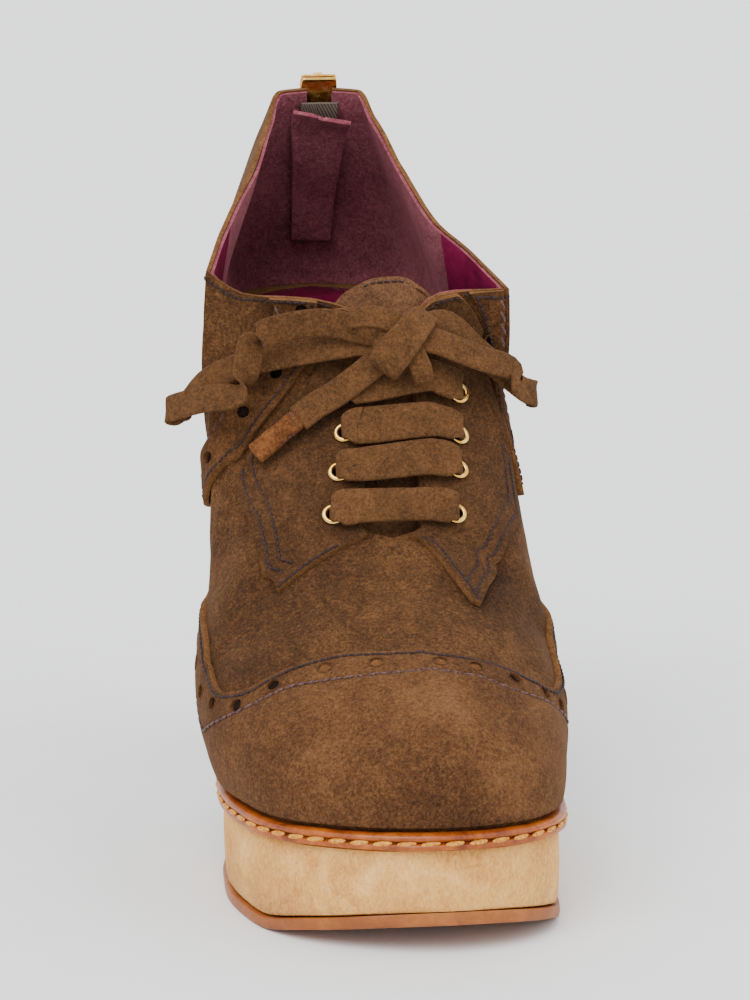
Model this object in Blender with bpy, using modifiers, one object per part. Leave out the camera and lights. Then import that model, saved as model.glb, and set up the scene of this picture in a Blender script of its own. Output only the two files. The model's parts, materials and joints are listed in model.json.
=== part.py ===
# Lace up heel: one right shoe, toe to -Y, medial side to +X, Z up, metres.
# The upper, its overlays and the sole pieces are worked out from one last form.
import math

import bmesh
import bpy
from mathutils import Vector

# Sizes
LENGTH = 0.2226
BALL_WIDTH = 0.0835
HEEL_HEIGHT = 0.1315
PLATFORM_HEIGHT = 0.025
INSTEP_HEIGHT = 0.070
TOE_SPRING = 0.0094
WALL = 0.0024
OVERLAY = 0.0012
WELT_THICKNESS = 0.0042
OUTSOLE_THICKNESS = 0.0032
TOP_LIFT_THICKNESS = 0.005
HEEL_TIP_WIDTH = 0.031
INSOLE_THICKNESS = 0.004
TONGUE_THICKNESS = 0.002
LACE_WIDTH = 0.0106
LACE_THICKNESS = 0.0016
EYELET_RADIUS = 0.0030
EYELET_BORE = 0.0015
ZIP_WIDTH = 0.0074
ZIP_RISE = 0.0179
TAPE_THICKNESS = 0.0008
GUARD_THICKNESS = 0.0012
TOOTH_WIDTH = 0.0048
SLIDER_WIDTH = 0.0105
SLIDER_LENGTH = 0.0115
SLIDER_THICKNESS = 0.0024
SLIDER_PINCH = 0.82
SLIDER_FOOT = 0.00845
SLIDER_REACH = 0.008
SLIDER_RISE = 0.0065
TEETH_BELOW_COLLAR = 0.00995
PIN_RADIUS = 0.0006
PIN_BORE = 0.0011
LUG_RADIUS = 0.0021
LUG_LENGTH = 0.0030
BAIL_TOP = 0.0052
BAIL_FOOT = 0.0084
BAIL_LENGTH = 0.0085
TAB_WIDTH = 0.0096
TAB_LENGTH = 0.0275
TAB_THICKNESS = 0.0024
TAB_FOLD_WIDTH = 0.0060
TAB_NECK = 0.0035
FOLD_RADIUS = 0.0019
TONGUE_HALF = 0.019
TONGUE_FOOT = 0.7367
TONGUE_TOP = 0.5436
TIP_WIDTH = 0.0048
TIP_THICKNESS = 0.0034
FLANGE_THICKNESS = 0.0007
OVERLAY_LIFT = 0.0003
EYELET_LIFT = 0.0005
GAP = 0.0003
REST = 0.0005

# Last, from the heel back (0) to the toe (1): centre line and half width of the feather edge
OUTLINE = [
    # along, centre, half
    (0.009, 0, 0),
    (0.0359, 0, 0.2335),
    (0.1123, 0, 0.3114),
    (0.2246, -0.0024, 0.321),
    (0.3369, -0.018, 0.3174),
    (0.4492, -0.024, 0.3473),
    (0.5615, -0.0144, 0.4228),
    (0.6739, -0.0072, 0.491),
    (0.7412, -0.0036, 0.5),
    (0.8311, 0.0096, 0.4671),
    (0.8985, 0.0359, 0.4012),
    (0.9524, 0.0719, 0.2575),
    (0.9793, 0.0958, 0),
]

# Underside of the welt, as a share of the way from platform to heel seat
SOLE_LINE = [
    # along, rise
    (0, 1.0),
    (0.0898, 0.981),
    (0.2022, 0.911),
    (0.2695, 0.826),
    (0.3594, 0.657),
    (0.4492, 0.441),
    (0.5166, 0.272),
    (0.584, 0.122),
    (0.6514, 0.033),
    (0.7188, 0.0),
    (0.8535, 0.002),
    (1, 0.0235),
]

# Underside of the outsole: tread, toe spring and the sweep up the platform's rear
TREAD_LINE = [
    # along, rise to the sole line, toe spring
    (0.5031, 1.0, 0),
    (0.5211, 0.80, 0),
    (0.5436, 0.48, 0),
    (0.5705, 0.18, 0),
    (0.5975, 0.04, 0),
    (0.6199, 0, 0),
    (0.8535, 0, 0),
    (0.9254, 0, 0.40),
    (1, 0, 1.0),
]

# Ribs of the upper on each side: where a rib leaves the feather edge and where it ends
COLLAR = {
    # foot along, top along, top side, top height
    -1: [
        (0.009, 0.1258, 0, 0.913),
        (0.0359, 0.1325, -0.1437, 0.904),
        (0.1123, 0.1797, -0.1976, 0.850),
        (0.2022, 0.2516, -0.2635, 0.830),
        (0.292, 0.3369, -0.3713, 0.900),
        (0.3684, 0.3953, -0.4407, 0.976),
        (0.4358, 0.4313, -0.4754, 1.041),
    ],
    1: [
        (0.009, 0.1258, 0, 0.913),
        (0.0359, 0.1325, 0.1437, 0.904),
        (0.1123, 0.1797, 0.1796, 0.850),
        (0.2022, 0.2516, 0.2275, 0.830),
        (0.292, 0.3459, 0.3054, 0.890),
        (0.3684, 0.4088, 0.4132, 0.990),
        (0.4358, 0.4582, 0.5042, 1.062),
    ],
}
FACING_TOP = {
    -1: [
        (0.4358, 0.4313, -0.4754, 1.041),
        (0.4672, 0.4403, -0.3473, 0.985),
        (0.5076, 0.4515, -0.1078, 1.000),
        (0.5391, 0.4627, 0.0599, 0.977),
    ],
    1: [
        (0.4358, 0.4582, 0.5042, 1.062),
        (0.4762, 0.4582, 0.3713, 1.055),
        (0.5076, 0.4582, 0.2635, 1.035),
        (0.5391, 0.4627, 0.1856, 0.977),
    ],
}
THROAT = {
    -1: [
        (0.5391, 0.4627, 0.0599, 0.977),
        (0.5975, 0.5121, 0.0359, 0.866),
        (0.6514, 0.5615, 0, 0.84),
        (0.7031, 0.6155, -0.0323, 0.755),
    ],
    1: [
        (0.5391, 0.4627, 0.1856, 0.977),
        (0.5975, 0.5121, 0.1737, 0.866),
        (0.6514, 0.5615, 0.1617, 0.84),
        (0.7031, 0.6155, 0.1473, 0.755),
    ],
}
RIDGE = [
    # foot along, top along, top side, top height
    (0.7098, 0.6222, 0.0599, 0.745),
    (0.7637, 0.6963, 0.0599, 0.695),
    (0.8311, 0.7727, 0.0599, 0.585),
    (0.8985, 0.8401, 0.0659, 0.505),
    (0.9479, 0.885, 0.0743, 0.445),
    (0.9793, 0.9164, 0.0838, 0.395),
]

# Fullness of the ribs: outward at the foot and at the top, upward at the foot, down at the top
FULLNESS = {
    # foot along, out, over, rise, drop
    -1: [
        (0.009, 0.0599, 0.0958, 0.20, 0.26),
        (0.1123, 0.0838, 0.0838, 0.22, 0.26),
        (0.292, 0.1557, 0.0359, 0.28, 0.30),
        (0.4358, 0.1796, 0.024, 0.36, 0.34),
        (0.4852, 0.2156, 0.1677, 0.44, 0.10),
        (0.5391, 0.2275, 0.3593, 0.50, 0.02),
        (0.6514, 0.2156, 0.3234, 0.42, 0.0),
        (0.7031, 0.1976, 0.3234, 0.40, 0.0),
        (0.7098, 0.1916, 0.4132, 0.40, 0.0),
        (0.8311, 0.0958, 0.3713, 0.30, 0.0),
        (0.9209, 0.0479, 0.2395, 0.22, 0.0),
        (0.9793, 0.018, 0.1078, 0.16, 0.0),
    ],
    1: [
        (0.009, 0.0599, 0.0958, 0.20, 0.26),
        (0.1123, 0.0838, 0.0838, 0.22, 0.26),
        (0.292, 0.1557, 0.0359, 0.28, 0.30),
        (0.4358, 0.1916, 0.024, 0.36, 0.34),
        (0.4852, 0.2515, 0.1437, 0.44, 0.12),
        (0.5391, 0.2754, 0.2635, 0.50, 0.02),
        (0.6514, 0.2156, 0.2874, 0.42, 0.0),
        (0.7031, 0.1677, 0.2874, 0.40, 0.0),
        (0.7098, 0.1677, 0.3713, 0.40, 0.0),
        (0.8311, 0.0719, 0.3353, 0.30, 0.0),
        (0.9209, 0.0359, 0.2156, 0.22, 0.0),
        (0.9793, 0.018, 0.1078, 0.16, 0.0),
    ],
}

# Upper edge of the wing toe cap, as a share of each rib
CAP_EDGE = {
    # foot along, share
    -1: [
        (0.4492, 0.07),
        (0.5301, 0.14),
        (0.6065, 0.28),
        (0.6828, 0.35),
        (0.7412, 0.333),
        (0.7862, 0.42),
        (0.8131, 0.65),
        (0.8491, 0.88),
        (0.876, 1.0),
        (0.9793, 1.0),
    ],
    1: [
        (0.4492, 0.07),
        (0.5301, 0.14),
        (0.6065, 0.28),
        (0.6828, 0.36),
        (0.7412, 0.335),
        (0.7817, 0.365),
        (0.8356, 0.54),
        (0.8625, 0.82),
        (0.876, 1.0),
        (0.9793, 1.0),
    ],
}

# Derby facings: outer edge and inner edge as shares of each rib
FACING = {
    # foot along, outer, inner
    -1: [
        (0.5211, 0.925, 0.985),
        (0.5391, 0.875, 0.985),
        (0.5638, 0.815, 0.985),
        (0.5773, 0.52, 0.985),
        (0.6604, 0.615, 0.985),
        (0.7031, 0.645, 0.985),
        (0.712, 0.65, 0.88),
        (0.7233, 0.655, 0.69),
    ],
    1: [
        (0.4874, 0.76, 0.985),
        (0.5458, 0.61, 0.985),
        (0.5773, 0.53, 0.985),
        (0.6289, 0.54, 0.985),
        (0.6963, 0.67, 0.985),
        (0.7031, 0.68, 0.985),
        (0.7165, 0.70, 0.91),
        (0.7682, 0.755, 0.785),
    ],
}

FACING_CORNERS = {-1: (0.5638, 0.5773), 1: (0.5458, 0.5773)}

# Brogued bands from the facing top to the waist: rear and front edge at each share of the rib
BAND = {
    # share, rear foot, front foot
    -1: [
        (0.05, 0.3235, 0.3863),
        (0.2, 0.4043, 0.4627),
        (0.333, 0.4582, 0.5144),
        (0.45, 0.4942, 0.5436),
        (0.56, 0.5144, 0.5638),
        (0.68, 0.5144, 0.5638),
        (0.78, 0.5054, 0.5548),
        (0.88, 0.4942, 0.5256),
        (0.975, 0.4807, 0.5054),
    ],
    1: [
        (0.05, 0.3235, 0.3863),
        (0.2, 0.4088, 0.4672),
        (0.333, 0.4672, 0.5256),
        (0.43, 0.5031, 0.5638),
        (0.50, 0.5099, 0.5638),
        (0.58, 0.4897, 0.5368),
        (0.70, 0.4537, 0.4829),
        (0.85, 0.4438, 0.4762),
        (0.975, 0.442, 0.4762),
    ],
}

# Heel block: height share, width share of the tip, back and front along
HEEL_SECTIONS = [
    # height, width, back, front
    (0, 1.0, 0.0593, 0.2156),
    (0.28, 1.026, 0.0557, 0.2129),
    (0.47, 1.075, 0.0503, 0.2129),
    (0.62, 1.18, 0.0431, 0.2156),
    (0.81, 1.42, 0.0279, 0.2269),
    (0.93, 1.68, 0.0144, 0.2448),
    (1.0, 1.80, 0.0063, 0.2588),
]

# Eyelet pairs from the vamp up: foot and share of the rib on each side
EYELETS = [
    # lateral foot, lateral share, medial foot, medial share
    (0.6887, 0.895, 0.6887, 0.865),
    (0.6581, 0.910, 0.6536, 0.850),
    (0.6253, 0.920, 0.6208, 0.835),
    (0.5885, 0.925, 0.5813, 0.820),
]

# Free parts of the lace: side, foot and share on the form, and distance from it
LACE_PATHS = {
    "lace_loop_medial": [
        # side, foot, share, distance in lace widths
        (1, 0.5615, 0.981, 1.02),
        (1, 0.5615, 0.80, 1.10),
        (1, 0.5481, 0.66, 1.05),
        (1, 0.5301, 0.57, 1.00),
        (1, 0.5211, 0.56, 0.78),
        (1, 0.5256, 0.62, 0.55),
        (1, 0.5346, 0.74, 0.50),
        (1, 0.5436, 0.90, 0.55),
    ],
    "lace_loop_lateral": [
        (-1, 0.5553, 0.993, 0.98),
        (-1, 0.5368, 0.87, 1.10),
        (-1, 0.5166, 0.80, 1.15),
        (-1, 0.5031, 0.73, 1.15),
        (-1, 0.5211, 0.65, 1.10),
        (-1, 0.5301, 0.58, 1.05),
        (-1, 0.4942, 0.53, 1.00),
        (-1, 0.4582, 0.51, 0.90),
        (-1, 0.4537, 0.53, 0.66),
        (-1, 0.4762, 0.60, 0.50),
        (-1, 0.5211, 0.68, 0.48),
        (-1, 0.5593, 0.955, 0.62),
    ],
    "lace_end": [
        (-1, 0.584, 0.96, 0.66),
        (-1, 0.593, 0.89, 0.60),
        (-1, 0.5952, 0.83, 0.56),
        (-1, 0.5975, 0.775, 0.54),
    ],
    "lace_tip": [
        (-1, 0.5975, 0.766, 0.54),
        (-1, 0.5952, 0.70, 0.53),
        (-1, 0.593, 0.63, 0.54),
    ],
}

HEEL_CENTRE = 0.1375 * LENGTH
ZIP_BOTTOM = HEEL_HEIGHT + ZIP_RISE
COLUMNS_COLLAR = 12
COLUMNS_TOP = 5
COLUMNS_THROAT = 8
COLUMNS_RIDGE = 11
ROWS = 12
WELD = 0.00002
PLATFORM_BACK = 0.5234
HEEL_BREAST_ALONG = 0.2624
HEEL_SIDES = 22
HEEL_STEPS = 9
HEEL_SQUARE = 0.85
HEEL_BACK = 0.95
HEEL_BREAST = 0.42
EYELET_SIDES = 10
WELT_STEPS = 44
TOOTH_STEPS = 64


def pace(rows, column):
    xs = [row[0] for row in rows]
    ys = [row[column] for row in rows]
    count = len(xs)
    steps = [xs[i + 1] - xs[i] for i in range(count - 1)]
    rates = [(ys[i + 1] - ys[i]) / steps[i] for i in range(count - 1)]
    slopes = [rates[0]] + [0.0] * (count - 2) + [rates[-1]]
    for i in range(1, count - 1):
        if rates[i - 1] * rates[i] > 0:
            near = 2 * steps[i] + steps[i - 1]
            far = steps[i] + 2 * steps[i - 1]
            slopes[i] = (near + far) / (near / rates[i - 1] + far / rates[i])
    return xs, ys, slopes


def smooth(rows, column, x):
    """Value of one column at x, by a monotone cubic through the rows."""
    xs, ys, slopes = pace(rows, column)
    i = 0
    while i < len(xs) - 2 and x > xs[i + 1]:
        i += 1
    step = xs[i + 1] - xs[i]
    t = min(max((x - xs[i]) / step, 0.0), 1.0)
    a = (2 * t**3 - 3 * t * t + 1) * ys[i]
    b = (t**3 - 2 * t * t + t) * step * slopes[i]
    c = (3 * t * t - 2 * t**3) * ys[i + 1]
    d = (t**3 - t * t) * step * slopes[i + 1]
    return a + b + c + d


BACK = OUTLINE[0][0]
FRONT = OUTLINE[-1][0]


def turn_at(along):
    share = min(max((along - BACK) / (FRONT - BACK), 0.0), 1.0)
    return math.acos(1 - 2 * share) / math.pi


def along_at(turn):
    return BACK + (FRONT - BACK) * (1 - math.cos(math.pi * turn)) / 2


TURNS = [(turn_at(row[0]), row[1], row[2]) for row in OUTLINE]


def sole_z(along):
    """Underside of the welt."""
    rise = smooth(SOLE_LINE, 1, along)
    return PLATFORM_HEIGHT + (HEEL_HEIGHT - PLATFORM_HEIGHT) * rise


def tread_z(along):
    """Underside of the outsole."""
    if along <= TREAD_LINE[0][0]:
        return sole_z(along) - OUTSOLE_THICKNESS * 1.3 - GAP
    rise = smooth(TREAD_LINE, 1, along)
    spring = smooth(TREAD_LINE, 2, along)
    top = sole_z(along) - OUTSOLE_THICKNESS * 1.3 - GAP
    return rise * top + spring * TOE_SPRING


def outsole_top(along):
    ahead = tread_z(min(along + 0.004, 1.0))
    behind = tread_z(along - 0.004)
    if along <= TREAD_LINE[0][0]:
        return sole_z(along) - GAP
    slope = (ahead - behind) / (0.008 * LENGTH)
    thick = OUTSOLE_THICKNESS * min(math.sqrt(1 + slope * slope), 2.6)
    return min(tread_z(along) + thick, sole_z(along) - GAP)


def edge(side, turn, grow=0.0):
    """Plan position on the feather edge, moved outward by grow."""
    half = smooth(TURNS, 2, turn) * BALL_WIDTH
    centre = smooth(TURNS, 1, turn) * BALL_WIDTH
    point = Vector((centre + side * half, along_at(turn) * LENGTH))
    if grow:
        point += heading(side, turn) * grow
    return point


def heading(side, turn):
    """Outward plan direction at the feather edge."""
    if turn < 0.002:
        return Vector((0, -1))
    if turn > 0.998:
        return Vector((0, 1))
    change = edge(side, turn + 0.002) - edge(side, turn - 0.002)
    return Vector((change.y, -change.x)).normalized() * side


def place(x, along, z):
    return Vector((x, HEEL_CENTRE - along, z))


def span_of(side, along):
    for rows in (COLLAR[side], FACING_TOP[side], THROAT[side]):
        if along <= rows[-1][0] + 1e-9:
            return rows
    return RIDGE


def top_point(side, along, rows=None):
    rows = rows or span_of(side, along)
    up = smooth(rows, 1, along)
    x = smooth(rows, 2, along) * BALL_WIDTH
    z = sole_z(up) + WELT_THICKNESS + smooth(rows, 3, along) * INSTEP_HEIGHT
    return Vector((x, up * LENGTH, z)), up


def rib(side, along, rows=None):
    """Four control points of the rib that leaves the feather edge at along."""
    turn = turn_at(along)
    foot = edge(side, turn)
    out = heading(side, turn)
    seat = sole_z(along) + WELT_THICKNESS + GAP * 1.6
    start = Vector((foot.x, foot.y, seat))
    end, up = top_point(side, along, rows)
    push, over, rise, drop = [smooth(FULLNESS[side], i, along) for i in (1, 2, 3, 4)]
    first = start + Vector((out.x, out.y, 0)) * push * BALL_WIDTH
    first.z += rise * INSTEP_HEIGHT
    lean = 0.0
    if span_of(side, along) is RIDGE:
        near, _ = top_point(side, max(along - 0.01, RIDGE[0][0]), RIDGE)
        far, _ = top_point(side, min(along + 0.01, FRONT), RIDGE)
        lean = (far.z - near.z) / (far.y - near.y) * out.y
    last = end + Vector((out.x, out.y, lean)) * over * BALL_WIDTH
    last.z -= drop * INSTEP_HEIGHT
    return start, first, last, end


def form(side, along, share, rows=None):
    """Outer surface of the upper: share 0 at the feather edge, 1 at the top of the rib."""
    p, q, r, s = rib(side, along, rows)
    t, k = share, 1 - share
    point = p * k**3 + q * (3 * k * k * t) + r * (3 * k * t * t) + s * t**3
    return Vector((point.x, HEEL_CENTRE - point.y, point.z))


def form_normal(side, along, share, rows=None):
    rows = rows or span_of(side, along)
    low, high = rows[0][0], rows[-1][0]
    a0, a1 = max(along - 0.004, low), min(along + 0.004, high)
    s0, s1 = max(share - 0.02, 0), min(share + 0.02, 1)
    length = form(side, a1, share, rows) - form(side, a0, share, rows)
    rising = form(side, along, s1, rows) - form(side, along, s0, rows)
    return rising.cross(length).normalized() * side


def off_form(side, along, share, distance, rows=None):
    return form(side, along, share, rows) + form_normal(side, along, share, rows) * distance


# Building helpers
shoe = bpy.data.collections.new("lace_up_heel")
cutters = bpy.data.collections.new("lace_up_heel_cutters")
bpy.context.scene.collection.children.link(shoe)
bpy.context.scene.collection.children.link(cutters)


def clear_scene():
    for thing in list(bpy.data.objects):
        bpy.data.objects.remove(thing, do_unlink=True)


def material_for(name, colour, roughness, metallic=0.0):
    material = bpy.data.materials.new(name)
    material.use_nodes = True
    shader = material.node_tree.nodes["Principled BSDF"]
    shader.inputs["Base Color"].default_value = (*colour, 1)
    shader.inputs["Roughness"].default_value = roughness
    shader.inputs["Metallic"].default_value = metallic
    return material


def add_piece(name, bm, material, collection=None):
    mesh = bpy.data.meshes.new(name)
    bm.to_mesh(mesh)
    bm.free()
    thing = bpy.data.objects.new(name, mesh)
    (collection or shoe).objects.link(thing)
    if material:
        mesh.materials.append(material)
    return thing


def finish_mesh(name, bm, material, collection=None):
    bmesh.ops.remove_doubles(bm, verts=bm.verts, dist=WELD)
    bmesh.ops.recalc_face_normals(bm, faces=bm.faces)
    return add_piece(name, bm, material, collection)


def grid(bm, rows_of_points):
    """Quads between neighbouring rows of points."""
    lines = [[bm.verts.new(point) for point in row] for row in rows_of_points]
    for low, high in zip(lines, lines[1:]):
        for i in range(len(low) - 1):
            bm.faces.new((low[i], low[i + 1], high[i + 1], high[i]))
    return lines


def close_loops(bm, loops):
    """Faces between neighbouring loops of vertices, and over both ends."""
    for a, b in zip(loops, loops[1:]):
        for j in range(len(a)):
            k = (j + 1) % len(a)
            bm.faces.new((a[j], a[k], b[k], b[j]))
    bm.faces.new(loops[0])
    bm.faces.new(loops[-1])


def apply_all(thing):
    graph = bpy.context.evaluated_depsgraph_get()
    mesh = bpy.data.meshes.new_from_object(thing.evaluated_get(graph))
    thing.modifiers.clear()
    thing.data = mesh
    return thing


def thicken(thing, thickness, offset, even=True):
    """Give an open surface its wall; offset 1 is outward, -1 inward."""
    wall = thing.modifiers.new("Wall", "SOLIDIFY")
    wall.thickness = thickness
    wall.offset = offset
    wall.use_even_offset = even
    wall.use_quality_normals = True
    return apply_all(thing)


def columns_of(side):
    """Foot positions and their rows of the table, from heel to toe."""
    picks = []
    for rows, count in spans_of(side):
        low, high = turn_at(rows[0][0]), turn_at(rows[-1][0])
        for i in range(count + 1):
            along = along_at(low + (high - low) * i / count)
            if picks and abs(picks[-1][0] - along) < 1e-5:
                continue
            picks.append((along, rows))
    return picks


def spans_of(side):
    return [
        (COLLAR[side], COLUMNS_COLLAR),
        (FACING_TOP[side], COLUMNS_TOP),
        (THROAT[side], COLUMNS_THROAT),
        (RIDGE, COLUMNS_RIDGE),
    ]


def lift(bm, distance):
    """Move a surface along its own normals."""
    bmesh.ops.remove_doubles(bm, verts=bm.verts, dist=WELD)
    bm.normal_update()
    moves = [(vert, vert.normal.copy()) for vert in bm.verts]
    for vert, normal in moves:
        vert.co += normal * distance


def outward(bm, centre):
    """Turn the faces of an open surface away from a point inside."""
    bm.normal_update()
    total = sum((face.calc_center_median() - centre).dot(face.normal) for face in bm.faces)
    if total < 0:
        bmesh.ops.reverse_faces(bm, faces=bm.faces)


def inside(along, rise):
    """A point on the middle line: along from the heel, rise from the welt as a share of the instep."""
    return place(0, along * LENGTH, sole_z(along) + rise * INSTEP_HEIGHT)


def build_upper(material):
    bm = bmesh.new()
    for side in (-1, 1):
        picks = columns_of(side)
        rows = []
        for along, table in picks:
            rows.append([form(side, along, i / ROWS, table) for i in range(ROWS + 1)])
        grid(bm, rows)
    bmesh.ops.remove_doubles(bm, verts=bm.verts, dist=WELD)
    bmesh.ops.recalc_face_normals(bm, faces=bm.faces)
    outward(bm, inside(0.674, 0.42))
    thing = add_piece("upper", bm, material)
    return thicken(thing, WALL, -1)


def clamped(low, high):
    """The upper's own rows, held between two shares without slivers at the ends."""
    near = 0.45 / ROWS
    shares = []
    for i in range(ROWS + 1):
        share = i / ROWS
        if share < low + near:
            share = low
        if share > high - near:
            share = high
        shares.append(share)
    shares[0], shares[-1] = low, high
    return shares


def build_patch(name, sides, low, high, picks_of, material, distance=REST, thick=OVERLAY):
    """An overlay on the upper's own rows, clamped between two shares of each rib."""
    bm = bmesh.new()
    for side in sides:
        lines = []
        for along, table in picks_of(side):
            a, b = low(side, along), high(side, along)
            lines.append([form(side, along, share, table) for share in clamped(a, b)])
        grid(bm, lines)
    bmesh.ops.remove_doubles(bm, verts=bm.verts, dist=WELD)
    bmesh.ops.recalc_face_normals(bm, faces=bm.faces)
    outward(bm, inside(0.674, 0.35))
    lift(bm, distance)
    thing = add_piece(name, bm, material)
    return thicken(thing, thick, 1, False)


def build_plate(name, turns, grow, low, high, material):
    """A flat piece of the sole: its outline, its underside and its upper side."""
    bm = bmesh.new()
    ladders = []
    for turn in turns:
        left, right = edge(-1, turn, grow(turn)), edge(1, turn, grow(turn))
        ladders.append((left, right))
    bottom, top = [], []
    for left, right in ladders:
        ends = (left, right)
        bottom.append([place(p.x, p.y, low(p.y / LENGTH)) for p in ends])
        top.append([place(p.x, p.y, high(p.y / LENGTH)) for p in ends])
    grid(bm, bottom)
    grid(bm, top)
    for k in (0, 1):
        grid(bm, [[row[k] for row in bottom], [row[k] for row in top]])
    for k in (0, -1):
        a, b, c, d = bottom[k][0], bottom[k][1], top[k][1], top[k][0]
        if (a - b).length > 0.0001:
            bm.faces.new([bm.verts.new(p) for p in (a, b, c, d)])
    bmesh.ops.remove_doubles(bm, verts=bm.verts, dist=WELD)
    bmesh.ops.dissolve_degenerate(bm, edges=bm.edges, dist=0.00001)
    return finish_mesh(name, bm, material)


def flange(turn):
    """How far the welt stands out past the feather edge."""
    return smooth([(0, 0.0020), (turn_at(0.6739), 0.0020), (turn_at(0.7412), 0.0024), (1, 0.0046)], 1, turn)


def sole_edge(turn):
    """How far the platform and outsole stand out past the feather edge."""
    return flange(turn) - 0.0023


def build_welt(material):
    bm = bmesh.new()
    loops = [[], [], [], []]
    stations = [(-1, i / WELT_STEPS) for i in range(WELT_STEPS + 1)]
    stations += [(1, 1 - i / WELT_STEPS) for i in range(1, WELT_STEPS)]
    for side, turn in stations:
        inner = edge(side, turn, -WALL - 2 * GAP)
        outer = edge(side, turn, flange(turn))
        for k, (p, up) in enumerate(((inner, 0), (outer, 0), (outer, 1), (inner, 1))):
            z = sole_z(p.y / LENGTH) + up * WELT_THICKNESS
            loops[k].append(bm.verts.new(place(p.x, p.y, z)))
    size = len(stations)
    for i in range(size):
        j = (i + 1) % size
        for k in range(4):
            m = (k + 1) % 4
            bm.faces.new((loops[k][i], loops[k][j], loops[m][j], loops[m][i]))
    return finish_mesh("welt", bm, material)


def turns_between(start, end, count):
    low, high = turn_at(start), turn_at(end)
    return [low + (high - low) * i / count for i in range(count + 1)]


def heel_ring(bm, share, height_of):
    """One outline of the heel block: rounded back, flat breast."""
    width = smooth(HEEL_SECTIONS, 1, share) * HEEL_TIP_WIDTH / 2
    back = smooth(HEEL_SECTIONS, 2, share)
    front = smooth(HEEL_SECTIONS, 3, share)
    ring = []
    for j in range(HEEL_SIDES):
        angle = 2 * math.pi * j / HEEL_SIDES
        c, s = math.cos(angle), math.sin(angle)
        x = width * math.copysign(abs(s) ** HEEL_SQUARE, s)
        power = HEEL_BACK if c < 0 else HEEL_BREAST
        along = (back + front) / 2 + (front - back) / 2 * math.copysign(abs(c) ** power, c)
        ring.append(bm.verts.new(place(x, along * LENGTH, height_of(along))))
    return ring


def build_heel(material):
    floor = TOP_LIFT_THICKNESS + GAP
    bm = bmesh.new()
    loops = []
    for i in range(HEEL_STEPS + 1):
        share = i / HEEL_STEPS
        loops.append(heel_ring(bm, share, lambda along: floor + share * (sole_z(along) - GAP - floor)))
    close_loops(bm, loops)
    return finish_mesh("heel", bm, material)


def build_top_lift(material):
    bm = bmesh.new()
    close_loops(bm, [heel_ring(bm, 0, lambda along: z) for z in (0.0, TOP_LIFT_THICKNESS)])
    return finish_mesh("top_lift", bm, material)


def throat_section(along, depth):
    """Points under the instep from the lateral to the medial side, at a depth below the form."""
    line = []
    for side in (-1, 1):
        shares = [0.45 + 0.55 * i / 8 for i in range(9)]
        points = [off_form(side, along, share, -depth) for share in shares]
        if side > 0:
            points.reverse()
        line += points
    return line


def sample(line, distances):
    """Points at distances along a line, measured from its middle."""
    runs = [0.0]
    for a, b in zip(line, line[1:]):
        runs.append(runs[-1] + (b - a).length)
    middle = runs[len(line) // 2 - 1] * 0.5 + runs[len(line) // 2] * 0.5
    points = []
    for distance in distances:
        goal = middle + distance
        i = 0
        while i < len(runs) - 2 and goal > runs[i + 1]:
            i += 1
        step = max(runs[i + 1] - runs[i], 1e-9)
        points.append(line[i].lerp(line[i + 1], (goal - runs[i]) / step))
    return points


def build_tongue(material):
    half = [share * TONGUE_HALF for share in (0.105, 0.29, 0.526, 0.763, 1.0)]
    widths = [-w for w in reversed(half)] + half
    depth = WALL + 2 * GAP
    rows = []
    for i in range(11):
        along = TONGUE_FOOT + (TONGUE_TOP - TONGUE_FOOT) * i / 10
        rows.append(sample(throat_section(along, depth), widths))
    ahead = [(b - a) for a, b in zip(rows[-3], rows[-1])]
    run = sum(step.length for step in ahead) / len(ahead)
    for reach, pinch in ((0.006, 0.98), (0.011, 0.86), (0.0145, 0.62)):
        last = rows[10]
        middle = (last[4] + last[5]) / 2
        direction = sum(ahead, Vector()) / len(ahead) / run
        rows.append([middle + (p - middle) * pinch + direction * reach for p in last])
    bm = bmesh.new()
    grid(bm, rows)
    outward(bm, inside(0.674, 0.35))
    thing = add_piece("tongue", bm, material)
    return thicken(thing, TONGUE_THICKNESS, -1)


def form_columns(side, low, high, corners=()):
    """The upper's own columns between two foot positions, the limits and any corners of the piece."""
    fixed = [low, high] + list(corners)
    inner = []
    for along, rows in columns_of(side):
        if low < along < high and all(abs(turn_at(along) - turn_at(f)) > 0.008 for f in fixed):
            inner.append((along, rows))
    ends = [THROAT[side][-1][0], RIDGE[0][0]]
    inner += [(along, span_of(side, along)) for along in fixed + [e for e in ends if low < e < high]]
    picks = sorted(set(along for along, _ in inner))
    return [(along, span_of(side, along)) for along in picks]


def build_cap(material):
    return build_patch(
        "toe_cap",
        (-1, 1),
        lambda side, along: 0.03 if along > 0.6065 else 0.045,
        lambda side, along: smooth(CAP_EDGE[side], 1, along),
        lambda side: form_columns(side, CAP_EDGE[side][0][0], FRONT, (0.7862, 0.8131, 0.8446, 0.876)),
        material,
        REST + OVERLAY_LIFT,
        OVERLAY - 0.0002,
    )


def build_facing(name, side, material):
    rows = FACING[side]
    return build_patch(
        name,
        (side,),
        lambda side, along: smooth(rows, 1, along),
        lambda side, along: smooth(rows, 2, along),
        lambda side: form_columns(side, rows[0][0], rows[-1][0], FACING_CORNERS[side]),
        material,
        REST + OVERLAY_LIFT,
        OVERLAY - 0.0002,
    )


def build_band(name, side, material):
    bm = bmesh.new()
    rows = BAND[side]
    lines = []
    for i in range(19):
        share = rows[0][0] + (rows[-1][0] - rows[0][0]) * i / 18
        rear, front = smooth(rows, 1, share), smooth(rows, 2, share)
        lines.append([form(side, rear + (front - rear) * j / 4, share) for j in range(5)])
    grid(bm, lines)
    outward(bm, inside(0.54, 0.50))
    lift(bm, REST)
    thing = add_piece(name, bm, material)
    return thicken(thing, OVERLAY, 1)


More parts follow.
